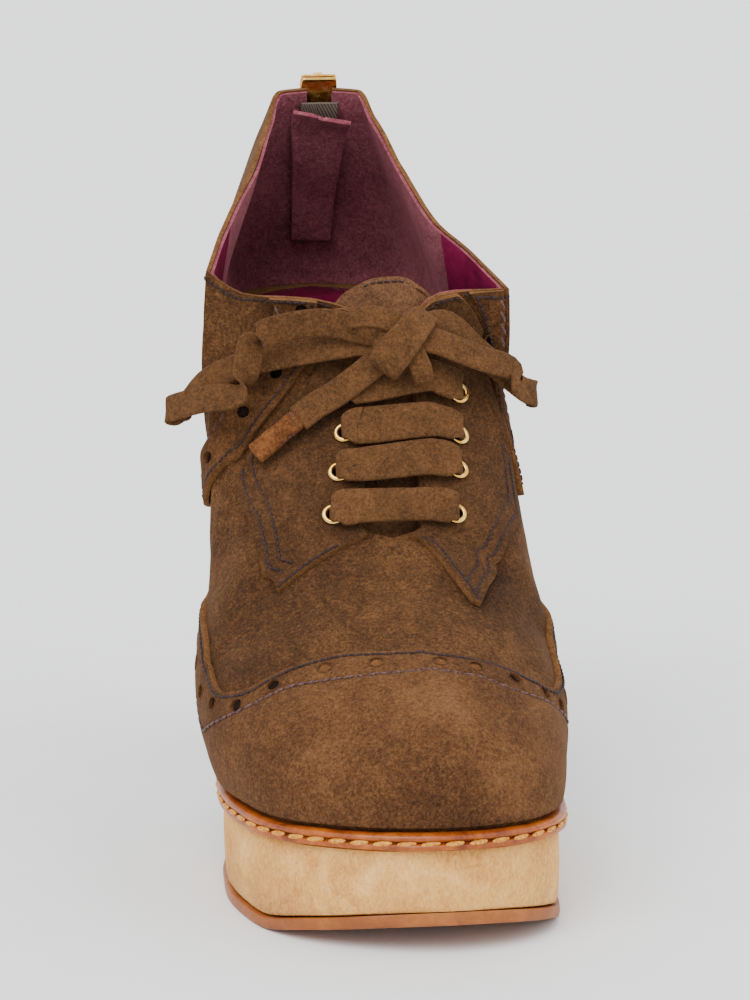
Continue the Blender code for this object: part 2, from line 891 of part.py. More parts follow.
def cut(thing, cutter, kind="DIFFERENCE"):
    step = thing.modifiers.new("Cut", "BOOLEAN")
    step.operation = kind
    step.solver = "EXACT"
    step.object = cutter
    return apply_all(thing)


def turned(name, profile, centre, axis, count, material, collection=None):
    """A ring: the profile of radius and height turned round an axis."""
    turn = Vector(axis).normalized().to_track_quat("Z", "X")
    bm = bmesh.new()
    rings = []
    for k in range(count):
        angle = 2 * math.pi * k / count
        ring = []
        for radius, height in profile:
            local = Vector((radius * math.cos(angle), radius * math.sin(angle), height))
            ring.append(bm.verts.new(centre + turn @ local))
        rings.append(ring)
    size = len(profile)
    for k in range(count):
        m = (k + 1) % count
        for j in range(size):
            n = (j + 1) % size
            bm.faces.new((rings[k][j], rings[m][j], rings[m][n], rings[k][n]))
    return finish_mesh(name, bm, material, collection)


def rod(name, centre, axis, radius, length, count, material=None, collection=None):
    """A plain cylinder centred on a point."""
    turn = Vector(axis).normalized().to_track_quat("Z", "X").to_matrix().to_4x4()
    turn.translation = centre
    bm = bmesh.new()
    bmesh.ops.create_cone(
        bm, cap_ends=True, segments=count, radius1=radius, radius2=radius, depth=length, matrix=turn
    )
    return finish_mesh(name, bm, material, collection)


def eyelet_frame(row, side):
    foot, share = (row[0], row[1]) if side < 0 else (row[2], row[3])
    return form(side, foot, share), form_normal(side, foot, share)


def build_eyelets(material, cut_things):
    ring = REST + OVERLAY + EYELET_LIFT
    depth = -WALL * 1.15
    for number, row in enumerate(EYELETS, 1):
        for side, label in ((-1, "lateral"), (1, "medial")):
            centre, axis = eyelet_frame(row, side)
            hole = rod("eyelet_hole_%s_%d" % (label, number), centre, axis,
                       EYELET_BORE + 0.0010, 0.012, 12, None, cutters)
            for thing in cut_things[side]:
                cut(thing, hole)
            profile = [
                (EYELET_BORE, depth),
                (EYELET_BORE + 0.0006, depth),
                (EYELET_BORE + 0.0006, ring),
                (EYELET_RADIUS, ring),
                (EYELET_RADIUS - 0.0003, ring + FLANGE_THICKNESS),
                (EYELET_BORE + 0.0002, ring + FLANGE_THICKNESS),
            ]
            turned("eyelet_%s_%d" % (label, number), profile, centre, axis, EYELET_SIDES, material)


def ribbon(name, points, wides, width, thickness, material):
    """A flat strip along points; wides give the direction of its width."""
    bm = bmesh.new()
    loops = []
    for i, point in enumerate(points):
        ahead = (points[min(i + 1, len(points) - 1)] - points[max(i - 1, 0)]).normalized()
        across = (wides[i] - ahead * wides[i].dot(ahead)).normalized()
        up = across.cross(ahead).normalized()
        wide = across * width / 2
        thick = up * thickness / 2
        corners = (point - wide - thick, point + wide - thick, point + wide + thick, point - wide + thick)
        loops.append([bm.verts.new(corner) for corner in corners])
    close_loops(bm, loops)
    return finish_mesh(name, bm, material)


def throat_direction():
    low, _ = top_point(1, THROAT[1][-1][0])
    high, _ = top_point(1, THROAT[1][0][0])
    rise = high - low
    return Vector((0, -rise.y, rise.z)).normalized()


def bar_points(row, distance):
    """A line over the throat from the lateral to the medial eyelet."""
    points = []
    for side in (-1, 1):
        foot, share = (row[0], row[1]) if side < 0 else (row[2], row[3])
        part = []
        for i in range(3):
            at = share + (1.0 - share) * i / 2
            part.append(off_form(side, foot, at, distance))
        if side > 0:
            part.reverse()
        points += part
    return points


def build_bars(material):
    distance = REST + OVERLAY + EYELET_LIFT + FLANGE_THICKNESS + 2 * GAP + LACE_THICKNESS / 2
    for number, row in enumerate(EYELETS, 1):
        points = bar_points(row, distance)
        wide = [throat_direction()] * len(points)
        ribbon("lace_bar_%d" % number, points, wide, LACE_WIDTH, LACE_THICKNESS, material)


def lace_path(name):
    points = []
    for side, foot, share, distance in LACE_PATHS[name]:
        points.append(off_form(side, foot, share, distance * LACE_WIDTH))
    return points


def rounded(points, steps):
    """A smooth line through the points."""
    line = []
    last = len(points) - 1
    for i in range(last):
        a, b = points[max(i - 1, 0)], points[i]
        c, d = points[i + 1], points[min(i + 2, last)]
        for j in range(steps):
            t = j / steps
            line.append(0.5 * ((2 * b) + (c - a) * t + (2 * a - 5 * b + 4 * c - d) * t * t
                               + (3 * b - a - 3 * c + d) * t**3))
    return line + [points[-1]]


def knot_frame():
    left, up_left = form(-1, 0.5615, 1.0), form_normal(-1, 0.5615, 1.0)
    right, up_right = form(1, 0.5615, 1.0), form_normal(1, 0.5615, 1.0)
    up = (up_left + up_right).normalized()
    return (left + right) / 2 + up * 0.0092, up


def build_bow(lace, leather):
    centre, up = knot_frame()
    bm = bmesh.new()
    bmesh.ops.create_uvsphere(bm, u_segments=12, v_segments=7, radius=1.0)
    turn = up.to_track_quat("Z", "X").to_matrix()
    for vert in bm.verts:
        vert.co = centre + turn @ Vector((vert.co.x * 0.0075, vert.co.y * 0.0085, vert.co.z * 0.0050))
    finish_mesh("lace_knot", bm, lace)
    wide = throat_direction()
    for name in ("lace_loop_medial", "lace_loop_lateral"):
        points = rounded(lace_path(name), 2)
        ribbon(name, points, [wide] * len(points), LACE_WIDTH * 0.75, LACE_THICKNESS, lace)
    points = rounded(lace_path("lace_end"), 2)
    slant = (wide + Vector((-0.5, 0, 0))).normalized()
    ribbon("lace_end", points, [slant] * len(points), LACE_WIDTH * 0.75, LACE_THICKNESS, lace)
    ribbon("lace_tip", lace_path("lace_tip"), [slant] * 3, TIP_WIDTH, TIP_THICKNESS, leather)


def back_line(z_low, z_high, distance, count):
    """Points up the back seam at a distance outside the upper."""
    fine = [(form(-1, BACK, i / 200), form_normal(1, BACK, i / 200)) for i in range(201)]
    points, ups = [], []
    for k in range(count + 1):
        z = z_low + (z_high - z_low) * k / count
        point, up = min(fine, key=lambda pair: abs(pair[0].z - z))
        up = Vector((0, up.y, up.z)).normalized()
        if up.y < 0:
            up = -up
        points.append(point + up * distance)
        ups.append(up)
    return points, ups


def collar_back():
    """Height of the collar at the back seam."""
    return top_point(-1, BACK)[0].z


def build_zip_slot():
    """The opening down the back seam with a round end."""
    bm = bmesh.new()
    half = ZIP_WIDTH / 2
    above = collar_back() + 2 * SLIDER_LENGTH
    outline = [(-half, above), (-half, ZIP_BOTTOM + half)]
    outline += [
        (-half * math.cos(math.pi * i / 6), ZIP_BOTTOM + half - half * math.sin(math.pi * i / 6))
        for i in range(1, 6)
    ]
    outline += [(half, ZIP_BOTTOM + half), (half, above)]
    rings = []
    for y in (HEEL_CENTRE + 0.045 * LENGTH, HEEL_CENTRE - 0.20 * LENGTH):
        rings.append([bm.verts.new((x, y, z)) for x, z in outline])
    close_loops(bm, rings)
    return finish_mesh("zip_slot", bm, None, cutters)


def build_zip(tape, brass, lining):
    def strip(name, foot, low, high, distance, thick, material):
        build_patch(
            name,
            (-1, 1),
            lambda side, along: low,
            lambda side, along: high,
            lambda side: [(BACK, COLLAR[side]), ((BACK + foot) / 2, COLLAR[side]), (foot, COLLAR[side])],
            material,
            distance,
            thick,
        )

    under_tape = WALL + GAP * 2 + TAPE_THICKNESS
    strip("zip_tape", 0.0207, 0.11, 0.97, -under_tape, TAPE_THICKNESS, tape)
    strip("zip_guard", 0.0207, 0.13, 0.93, -under_tape - GAP - GUARD_THICKNESS, GUARD_THICKNESS, lining)
    top = collar_back() - TEETH_BELOW_COLLAR
    points, ups = back_line(ZIP_BOTTOM + 0.002, top, -WALL * 0.55, TOOTH_STEPS)
    bm = bmesh.new()
    loops = []
    for i, (point, up) in enumerate(zip(points, ups)):
        half = TOOTH_WIDTH / 2 * (1 if (i // 2) % 2 == 0 else 0.46)
        deep = TAPE_THICKNESS - 0.0001
        loops.append([
            bm.verts.new(point + Vector((sx * half, 0, 0)) + up * sy * deep)
            for sx, sy in ((-1, -1), (1, -1), (1, 1), (-1, 1))
        ])
    close_loops(bm, loops)
    finish_mesh("zip_teeth", bm, brass)


def build_slider(brass):
    """Slider body with the small bridge that carries the bail."""
    foot = collar_back() - SLIDER_FOOT
    low, _ = back_line(foot, foot + SLIDER_REACH, 0.0, 1)
    rise = (low[1] - low[0]).normalized()
    out = Vector((1, 0, 0)).cross(rise).normalized()
    if out.y < 0:
        out = -out
    centre = low[0] + rise * SLIDER_RISE + out * (SLIDER_THICKNESS / 2 - 0.0002)
    bm = bmesh.new()
    bmesh.ops.create_cube(bm, size=1.0)
    for vert in bm.verts:
        across = SLIDER_WIDTH * (SLIDER_PINCH if vert.co.z < 0 else 1.0)
        vert.co = centre + Vector((vert.co.x * across, 0, 0)) + rise * vert.co.z * SLIDER_LENGTH \
            + out * vert.co.y * SLIDER_THICKNESS
    body = finish_mesh("zip_slider", bm, brass)
    pin = centre + out * 1.25 * SLIDER_THICKNESS
    lug = rod("slider_lug", pin, (1, 0, 0), LUG_RADIUS, LUG_LENGTH, 14, brass, cutters)
    cut(body, lug, "UNION")
    bore = rod("slider_bore", pin + out * 0.0001, (1, 0, 0), PIN_BORE, LUG_LENGTH * 2, 12, None, cutters)
    cut(body, bore)
    return pin, rise, out


def build_pull(brass, suede, pin, rise, out):
    """Bail through the slider's bridge and the folded tab that hangs from it."""
    side = Vector((1, 0, 0))
    down = (-rise * 0.97 - side * 0.26).normalized()
    across = down.cross(out).normalized()
    if across.x < 0:
        across = -across
    foot = pin + down * BAIL_LENGTH + out * 0.0004
    corners = [
        pin - side * BAIL_TOP / 2,
        pin + side * BAIL_TOP / 2,
        foot + across * BAIL_FOOT / 2,
        foot - across * BAIL_FOOT / 2,
    ]
    curve = bpy.data.curves.new("zip_bail", "CURVE")
    curve.dimensions = "3D"
    curve.bevel_depth = PIN_RADIUS
    curve.bevel_resolution = 1
    spline = curve.splines.new("POLY")
    spline.points.add(3)
    for point, corner in zip(spline.points, corners):
        point.co = (*corner, 1)
    spline.use_cyclic_u = True
    wire = bpy.data.objects.new("zip_bail_line", curve)
    shoe.objects.link(wire)
    mesh = bpy.data.meshes.new_from_object(wire.evaluated_get(bpy.context.evaluated_depsgraph_get()))
    bpy.data.objects.remove(wire)
    bail = bpy.data.objects.new("zip_bail", mesh)
    shoe.objects.link(bail)
    mesh.materials.append(brass)
    bm = bmesh.new()
    face = down.cross(across).normalized()
    if face.dot(out) < 0:
        face = -face
    outline = []
    for i in range(9):
        angle = math.pi * (0.12 + 0.76 * i / 8)
        outline.append((-math.sin(angle) * FOLD_RADIUS, math.cos(angle) * FOLD_RADIUS))
    thick, end = TAB_THICKNESS / 2, TAB_LENGTH - 0.0015
    outline += [(TAB_NECK, -thick - 0.0001), (2 * TAB_NECK, -thick), (end, -thick), (TAB_LENGTH, -thick / 2)]
    outline += [(TAB_LENGTH, thick / 2), (end, thick), (2 * TAB_NECK, thick), (TAB_NECK, thick + 0.0001)]
    rings = []
    for sign in (-1, 1):
        ring = []
        for d, h in outline:
            spread = min(max((d - TAB_NECK) / TAB_NECK, 0), 1)
            half = (TAB_FOLD_WIDTH + (TAB_WIDTH - TAB_FOLD_WIDTH) * spread) / 2
            ring.append(bm.verts.new(foot + down * d + face * h + across * half * sign))
        rings.append(ring)
    close_loops(bm, rings)
    tab = finish_mesh("pull_tab", bm, suede)
    bore = rod("tab_bore", foot, across, PIN_BORE - 0.0001, 2 * TAB_WIDTH, 12, None, cutters)
    cut(tab, bore)


def finish_scene():
    cutters.hide_render = True
    for thing in cutters.objects:
        thing.display_type = "WIRE"
        thing.hide_render = True


def main():
    clear_scene()
    suede = material_for("brown suede", (0.16, 0.07, 0.027), 0.9)
    welt_leather = material_for("tan welt leather", (0.45, 0.13, 0.03), 0.5)
    crepe = material_for("natural crepe rubber", (0.58, 0.42, 0.22), 0.85)
    sole_leather = material_for("tan sole leather", (0.42, 0.15, 0.05), 0.4)
    lift_rubber = material_for("top lift rubber", (0.33, 0.18, 0.13), 0.7)
    insole_leather = material_for("burgundy insole leather", (0.13, 0.01, 0.03), 0.6)
    tongue_suede = material_for("tongue suede", (0.15, 0.065, 0.025), 0.9)
    brass = material_for("polished brass", (0.75, 0.50, 0.12), 0.25, 1.0)
    lace = material_for("lace suede", (0.20, 0.095, 0.04), 0.9)
    tip_leather = material_for("lace tip leather", (0.27, 0.12, 0.05), 0.6)
    tape = material_for("zip tape", (0.10, 0.08, 0.065), 0.9)
    lining = material_for("lining suede", (0.11, 0.036, 0.045), 0.9)
    upper = build_upper(suede)
    cut(upper, build_zip_slot())
    build_cap(suede)
    facings = {
        -1: build_facing("facing_lateral", -1, suede),
        1: build_facing("facing_medial", 1, suede),
    }
    build_band("band_lateral", -1, suede)
    build_band("band_medial", 1, suede)
    build_eyelets(brass, {side: (upper, facings[side]) for side in (-1, 1)})
    build_bars(lace)
    build_bow(lace, tip_leather)
    build_zip(tape, brass, lining)
    pin, rise, out = build_slider(brass)
    build_pull(brass, suede, pin, rise, out)
    build_tongue(tongue_suede)
    build_plate("insole", turns_between(BACK, FRONT, 34), lambda turn: -WALL - 3.2 * GAP,
                lambda u: sole_z(u) + GAP, lambda u: sole_z(u) + GAP + INSOLE_THICKNESS, insole_leather)
    build_welt(welt_leather)
    front = turns_between(PLATFORM_BACK, FRONT, 26)
    build_plate("platform", front, sole_edge, lambda u: outsole_top(u) + GAP, lambda u: sole_z(u) - GAP, crepe)
    shank = turns_between(HEEL_BREAST_ALONG, PLATFORM_BACK, 14)[:-1]
    build_plate("outsole", shank + front, sole_edge, tread_z, outsole_top, sole_leather)
    build_heel(suede)
    build_top_lift(lift_rubber)
    finish_scene()


main()
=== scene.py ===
"""Dresses the lace up heel: one right shoe in brown brushed suede, on a crepe platform.

Every piece is made in the frame of the CAD model: toe to -Y, medial side to +X, Z up,
metres. The upper, its overlays, stitches and lace follow the surface of one last.
"""
import json
import math

import bmesh
import bpy
from bpy.props import FloatProperty, PointerProperty
from mathutils import Matrix, Vector, kdtree, noise

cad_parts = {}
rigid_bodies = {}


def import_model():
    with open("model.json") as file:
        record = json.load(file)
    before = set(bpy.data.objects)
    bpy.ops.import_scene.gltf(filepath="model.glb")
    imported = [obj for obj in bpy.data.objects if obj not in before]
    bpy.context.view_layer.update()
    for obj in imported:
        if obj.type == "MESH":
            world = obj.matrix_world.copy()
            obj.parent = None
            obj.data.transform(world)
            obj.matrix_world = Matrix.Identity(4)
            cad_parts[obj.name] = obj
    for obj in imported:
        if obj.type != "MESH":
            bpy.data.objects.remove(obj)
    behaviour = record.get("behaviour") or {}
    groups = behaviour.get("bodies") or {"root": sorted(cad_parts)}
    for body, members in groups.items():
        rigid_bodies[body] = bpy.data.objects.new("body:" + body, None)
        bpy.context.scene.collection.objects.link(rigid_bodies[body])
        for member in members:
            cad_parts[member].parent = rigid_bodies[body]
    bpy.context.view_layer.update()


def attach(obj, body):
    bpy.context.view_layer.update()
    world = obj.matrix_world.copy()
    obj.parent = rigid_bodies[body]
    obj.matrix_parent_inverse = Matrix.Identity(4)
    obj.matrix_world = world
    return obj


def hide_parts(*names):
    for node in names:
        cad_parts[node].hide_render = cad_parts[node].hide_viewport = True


bl_info = {
    "name": "Lace up heel",
    "version": (1, 0, 0),
    "blender": (4, 5, 0),
    "location": "3D View > Sidebar > Shoe",
    "description": "Builds a lace up platform heel in brogued suede, piece by piece",
    "category": "Object",
}

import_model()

# Sizes of the shoe, in metres
LENGTH = 0.2226
BALL_WIDTH = 0.0835
HEEL_HEIGHT = 0.1315
PLATFORM_HEIGHT = 0.025
INSTEP_HEIGHT = 0.070
TOE_SPRING = 0.0094
WALL = 0.0024
OVERLAY = 0.0012
WELT_THICKNESS = 0.0042
OUTSOLE_THICKNESS = 0.0032
TOP_LIFT_THICKNESS = 0.005
HEEL_TIP_WIDTH = 0.031
INSOLE_THICKNESS = 0.004
TONGUE_THICKNESS = 0.002
LACE_WIDTH = 0.0106
LACE_THICKNESS = 0.0016
EYELET_RADIUS = 0.0030
EYELET_BORE = 0.0015
ZIP_WIDTH = 0.0074
ZIP_BOTTOM = 0.1494
GAP = 0.0003
REST = 0.0005
HEEL_CENTRE = 0.1375 * LENGTH

# Sizes of what the scene adds
WELD = 0.00001
OVERLAY_LIFT = 0.00005
EYELET_LIFT = 0.0005
FLANGE_THICKNESS = 0.0007
PUNCH_DEPTH = 0.009
SEAM_STEP = 0.0008
EDGE_ROW = 0.0014
FINE_THREAD = 0.00042
TAPE_TOP = 0.1925
TOOTH_PITCH = 0.00235
SIDES = ((-1, "lateral"), (1, "medial"))

# Along the last: where the collar and the facing's top end, and where the two linings meet
TOP_CORNERS = (0.4358, 0.5391)
LINING_SEAM = 0.318

# Last, from the heel back (0) to the toe (1): centre line and half width of the feather edge
OUTLINE = [
    # along, centre, half
    (0.009, 0, 0),
    (0.0359, 0, 0.2335),
    (0.1123, 0, 0.3114),
    (0.2246, -0.0024, 0.321),
    (0.3369, -0.018, 0.3174),
    (0.4492, -0.024, 0.3473),
    (0.5615, -0.0144, 0.4228),
    (0.6739, -0.0072, 0.491),
    (0.7412, -0.0036, 0.5),
    (0.8311, 0.0096, 0.4671),
    (0.8985, 0.0359, 0.4012),
    (0.9524, 0.0719, 0.2575),
    (0.9793, 0.0958, 0),
]

# Underside of the welt, as a share of the way from platform to heel seat
SOLE_LINE = [
    # along, rise
    (0, 1.0),
    (0.0898, 0.981),
    (0.2022, 0.911),
    (0.2695, 0.826),
    (0.3594, 0.657),
    (0.4492, 0.441),
    (0.5166, 0.272),
    (0.584, 0.122),
    (0.6514, 0.033),
    (0.7188, 0.0),
    (0.8535, 0.002),
    (1, 0.0235),
]

# Underside of the outsole: tread, toe spring and the sweep up the platform's rear
TREAD_LINE = [
    # along, rise to the sole line, toe spring
    (0.5031, 1.0, 0),
    (0.5211, 0.80, 0),
    (0.5436, 0.48, 0),
    (0.5705, 0.18, 0),
    (0.5975, 0.04, 0),
    (0.6199, 0, 0),
    (0.8535, 0, 0),
    (0.9254, 0, 0.40),
    (1, 0, 1.0),
]

# Ribs of the upper on each side: where a rib leaves the feather edge and where it ends
COLLAR = {
    # foot along, top along, top side, top height
    -1: [
        (0.009, 0.1258, 0, 0.913),
        (0.0359, 0.1325, -0.1437, 0.904),
        (0.1123, 0.1797, -0.1976, 0.850),
        (0.2022, 0.2516, -0.2635, 0.830),
        (0.292, 0.3369, -0.3713, 0.900),
        (0.3684, 0.3953, -0.4407, 0.976),
        (0.4358, 0.4313, -0.4754, 1.041),
    ],
    1: [
        (0.009, 0.1258, 0, 0.913),
        (0.0359, 0.1325, 0.1437, 0.904),
        (0.1123, 0.1797, 0.1796, 0.850),
        (0.2022, 0.2516, 0.2275, 0.830),
        (0.292, 0.3459, 0.3054, 0.890),
        (0.3684, 0.4088, 0.4132, 0.990),
        (0.4358, 0.4582, 0.5042, 1.062),
    ],
}
FACING_TOP = {
    -1: [
        (0.4358, 0.4313, -0.4754, 1.041),
        (0.4672, 0.4403, -0.3473, 0.985),
        (0.5076, 0.4515, -0.1078, 1.000),
        (0.5391, 0.4627, 0.0599, 0.977),
    ],
    1: [
        (0.4358, 0.4582, 0.5042, 1.062),
        (0.4762, 0.4582, 0.3713, 1.055),
        (0.5076, 0.4582, 0.2635, 1.035),
        (0.5391, 0.4627, 0.1856, 0.977),
    ],
}
THROAT = {
    -1: [
        (0.5391, 0.4627, 0.0599, 0.977),
        (0.5975, 0.5121, 0.0359, 0.866),
        (0.6514, 0.5615, 0, 0.84),
        (0.7031, 0.6155, -0.0323, 0.755),
    ],
    1: [
        (0.5391, 0.4627, 0.1856, 0.977),
        (0.5975, 0.5121, 0.1737, 0.866),
        (0.6514, 0.5615, 0.1617, 0.84),
        (0.7031, 0.6155, 0.1473, 0.755),
    ],
}
RIDGE = [
    # foot along, top along, top side, top height
    (0.7098, 0.6222, 0.0599, 0.745),
    (0.7637, 0.6963, 0.0599, 0.695),
    (0.8311, 0.7727, 0.0599, 0.585),
    (0.8985, 0.8401, 0.0659, 0.505),
    (0.9479, 0.885, 0.0743, 0.445),
    (0.9793, 0.9164, 0.0838, 0.395),
]

# Fullness of the ribs: outward at the foot and at the top, upward at the foot, down at the top
FULLNESS = {
    # foot along, out, over, rise, drop
    -1: [
        (0.009, 0.0599, 0.0958, 0.20, 0.26),
        (0.1123, 0.0838, 0.0838, 0.22, 0.26),
        (0.292, 0.1557, 0.0359, 0.28, 0.30),
        (0.4358, 0.1796, 0.024, 0.36, 0.34),
        (0.4852, 0.2156, 0.1677, 0.44, 0.10),
        (0.5391, 0.2275, 0.3593, 0.50, 0.02),
        (0.6514, 0.2156, 0.3234, 0.42, 0.0),
        (0.7031, 0.1976, 0.3234, 0.40, 0.0),
        (0.7098, 0.1916, 0.4132, 0.40, 0.0),
        (0.8311, 0.0958, 0.3713, 0.30, 0.0),
        (0.9209, 0.0479, 0.2395, 0.22, 0.0),
        (0.9793, 0.018, 0.1078, 0.16, 0.0),
    ],
    1: [
        (0.009, 0.0599, 0.0958, 0.20, 0.26),
        (0.1123, 0.0838, 0.0838, 0.22, 0.26),
        (0.292, 0.1557, 0.0359, 0.28, 0.30),
        (0.4358, 0.1916, 0.024, 0.36, 0.34),
        (0.4852, 0.2515, 0.1437, 0.44, 0.12),
        (0.5391, 0.2754, 0.2635, 0.50, 0.02),
        (0.6514, 0.2156, 0.2874, 0.42, 0.0),
        (0.7031, 0.1677, 0.2874, 0.40, 0.0),
        (0.7098, 0.1677, 0.3713, 0.40, 0.0),
        (0.8311, 0.0719, 0.3353, 0.30, 0.0),
        (0.9209, 0.0359, 0.2156, 0.22, 0.0),
        (0.9793, 0.018, 0.1078, 0.16, 0.0),
    ],
}

# Upper edge of the wing toe cap, as a share of each rib
CAP_EDGE = {
    # foot along, share
    -1: [
        (0.4492, 0.07),
        (0.5301, 0.14),
        (0.6065, 0.28),
        (0.6828, 0.35),
        (0.7412, 0.333),
        (0.7862, 0.42),
        (0.8131, 0.65),
        (0.8491, 0.88),
        (0.876, 1.0),
        (0.9793, 1.0),
    ],
    1: [
        (0.4492, 0.07),
        (0.5301, 0.14),
        (0.6065, 0.28),
        (0.6828, 0.36),
        (0.7412, 0.335),
        (0.7817, 0.365),
        (0.8356, 0.54),
        (0.8625, 0.82),
        (0.876, 1.0),
        (0.9793, 1.0),
    ],
}

# Derby facings: outer edge and inner edge as shares of each rib
FACING = {
    # foot along, outer, inner
    -1: [
        (0.5211, 0.925, 0.997),
        (0.5391, 0.875, 0.997),
        (0.5638, 0.815, 0.997),
        (0.5773, 0.52, 0.997),
        (0.6604, 0.615, 0.997),
        (0.7031, 0.645, 0.997),
        (0.712, 0.65, 0.88),
        (0.7233, 0.655, 0.69),
    ],
    1: [
        (0.4874, 0.76, 0.997),
        (0.5458, 0.61, 0.997),
        (0.5773, 0.53, 0.997),
        (0.6289, 0.54, 0.997),
        (0.66, 0.6011, 0.997),
        (0.6963, 0.6662, 0.997),
        (0.7031, 0.6782, 0.997),
        (0.71, 0.6740, 0.955),
        (0.7165, 0.6717, 0.91),
        (0.74, 0.7117, 0.85),
        (0.7682, 0.755, 0.785),
    ],
}

FACING_CORNERS = {-1: (0.5638, 0.5773), 1: (0.5458, 0.5773)}

# Brogued bands from the facing top to the waist: rear and front edge at each share of the rib
BAND = {
    # share, rear foot, front foot
    -1: [
        (0.05, 0.3235, 0.3863),
        (0.2, 0.4043, 0.4627),
        (0.333, 0.4582, 0.5144),
        (0.45, 0.4942, 0.5436),
        (0.56, 0.5144, 0.5638),
        (0.68, 0.5144, 0.5638),
        (0.78, 0.5054, 0.5548),
        (0.88, 0.4942, 0.5256),
        (0.997, 0.4807, 0.5054),
    ],
    1: [
        (0.05, 0.3235, 0.3863),
        (0.2, 0.4088, 0.4672),
        (0.333, 0.4672, 0.5256),
        (0.43, 0.5031, 0.5638),
        (0.50, 0.5099, 0.5638),
        (0.58, 0.4897, 0.5368),
        (0.70, 0.4537, 0.4829),
        (0.85, 0.4438, 0.4762),
        (0.997, 0.442, 0.4762),
    ],
}

# Heel block: height share, width share of the tip, back and front along
HEEL_SECTIONS = [
    # height, width, back, front
    (0, 1.0, 0.0593, 0.2156),
    (0.28, 1.026, 0.0557, 0.2129),
    (0.47, 1.075, 0.0503, 0.2129),
    (0.62, 1.18, 0.0431, 0.2156),
    (0.81, 1.42, 0.0279, 0.2269),
    (0.93, 1.68, 0.0144, 0.2448),
    (1.0, 1.80, 0.0063, 0.2588),
]

# Eyelet pairs from the vamp up: foot and share of the rib on each side
EYELETS = [
    # lateral foot, lateral share, medial foot, medial share
    (0.6887, 0.895, 0.6887, 0.865),
    (0.6581, 0.910, 0.6536, 0.850),
    (0.6253, 0.920, 0.6208, 0.835),
    (0.5885, 0.925, 0.5813, 0.820),
]

# Free parts of the lace: side, foot and share on the form, and distance from it
LACE_PATHS = {
    "lace_loop_medial": [
        # side, foot, share, distance in lace widths
        (1, 0.5615, 0.981, 1.02),
        (1, 0.5615, 0.80, 1.12),
        (1, 0.5481, 0.67, 1.10),
        (1, 0.5350, 0.59, 1.10),
        (1, 0.5240, 0.548, 1.04),
        (1, 0.5180, 0.540, 0.90),
        (1, 0.5190, 0.560, 0.73),
        (1, 0.5256, 0.62, 0.60),
        (1, 0.5346, 0.74, 0.52),
        (1, 0.5436, 0.90, 0.55),
    ],
    "lace_loop_lateral": [
        (-1, 0.5553, 0.993, 0.98),
        (-1, 0.5368, 0.87, 1.12),
        (-1, 0.5166, 0.80, 1.20),
        (-1, 0.5031, 0.73, 1.20),
        (-1, 0.5211, 0.65, 1.12),
        (-1, 0.5301, 0.58, 1.08),
        (-1, 0.5000, 0.533, 1.08),
        (-1, 0.4660, 0.508, 1.06),
        (-1, 0.4480, 0.502, 0.96),
        (-1, 0.4420, 0.510, 0.79),
        (-1, 0.4500, 0.530, 0.63),
        (-1, 0.4762, 0.60, 0.50),
        (-1, 0.5211, 0.68, 0.48),
        (-1, 0.5593, 0.955, 0.62),
    ],
    "lace_end": [
        (-1, 0.584, 0.96, 0.66),
        (-1, 0.593, 0.89, 0.60),
        (-1, 0.5952, 0.83, 0.56),
        (-1, 0.5975, 0.775, 0.54),
    ],
    "lace_tip": [
        (-1, 0.5975, 0.766, 0.54),
        (-1, 0.5952, 0.70, 0.53),
        (-1, 0.593, 0.63, 0.54),
    ],
}

# Heavy seam of the wing toe cap, from the tail of the wing over the toe
CAP_SEAM = {
    # foot along, share
    -1: [(0.50, 0.045), (0.56, 0.10), (0.6247, 0.165), (0.68, 0.185), (0.7233, 0.167),
         (0.7906, 0.333), (0.8378, 0.60), (0.8783, 0.833), (0.900, 0.95), (0.9055, 1.0)],
    1: [(0.50, 0.045), (0.56, 0.10), (0.6247, 0.165), (0.70, 0.175), (0.7704, 0.21),
        (0.8648, 0.533), (0.892, 0.80), (0.902, 0.93), (0.9055, 1.0)],
}

# Punched holes: side, foot along, share of the rib
BAND_HOLES = [
    (-1, 0.5108, 0.90), (-1, 0.5400, 0.683), (-1, 0.5350, 0.56), (-1, 0.5060, 0.40),
    (-1, 0.4700, 0.29), (-1, 0.4330, 0.20), (-1, 0.3930, 0.12),
    (1, 0.4600, 0.867), (1, 0.4720, 0.74), (1, 0.5060, 0.60), (1, 0.5370, 0.48),
    (1, 0.5050, 0.365), (1, 0.4650, 0.27), (1, 0.4230, 0.18), (1, 0.3830, 0.10),
]
CAP_HOLES = [
    (-1, 0.5600, 0.165), (-1, 0.6100, 0.215), (-1, 0.6600, 0.262), (-1, 0.7070, 0.262),
    (-1, 0.7480, 0.285), (-1, 0.7885, 0.362), (-1, 0.8120, 0.52), (-1, 0.8370, 0.70),
    (-1, 0.8620, 0.85),
    (1, 0.5600, 0.165), (1, 0.6100, 0.215), (1, 0.6600, 0.265), (1, 0.7100, 0.262),
    (1, 0.7560, 0.275), (1, 0.7985, 0.324), (1, 0.8300, 0.447), (1, 0.8600, 0.62),
    (1, 0.8760, 0.79), (1, 0.8860, 0.93),
]
HOLE_RADIUS = 0.0017

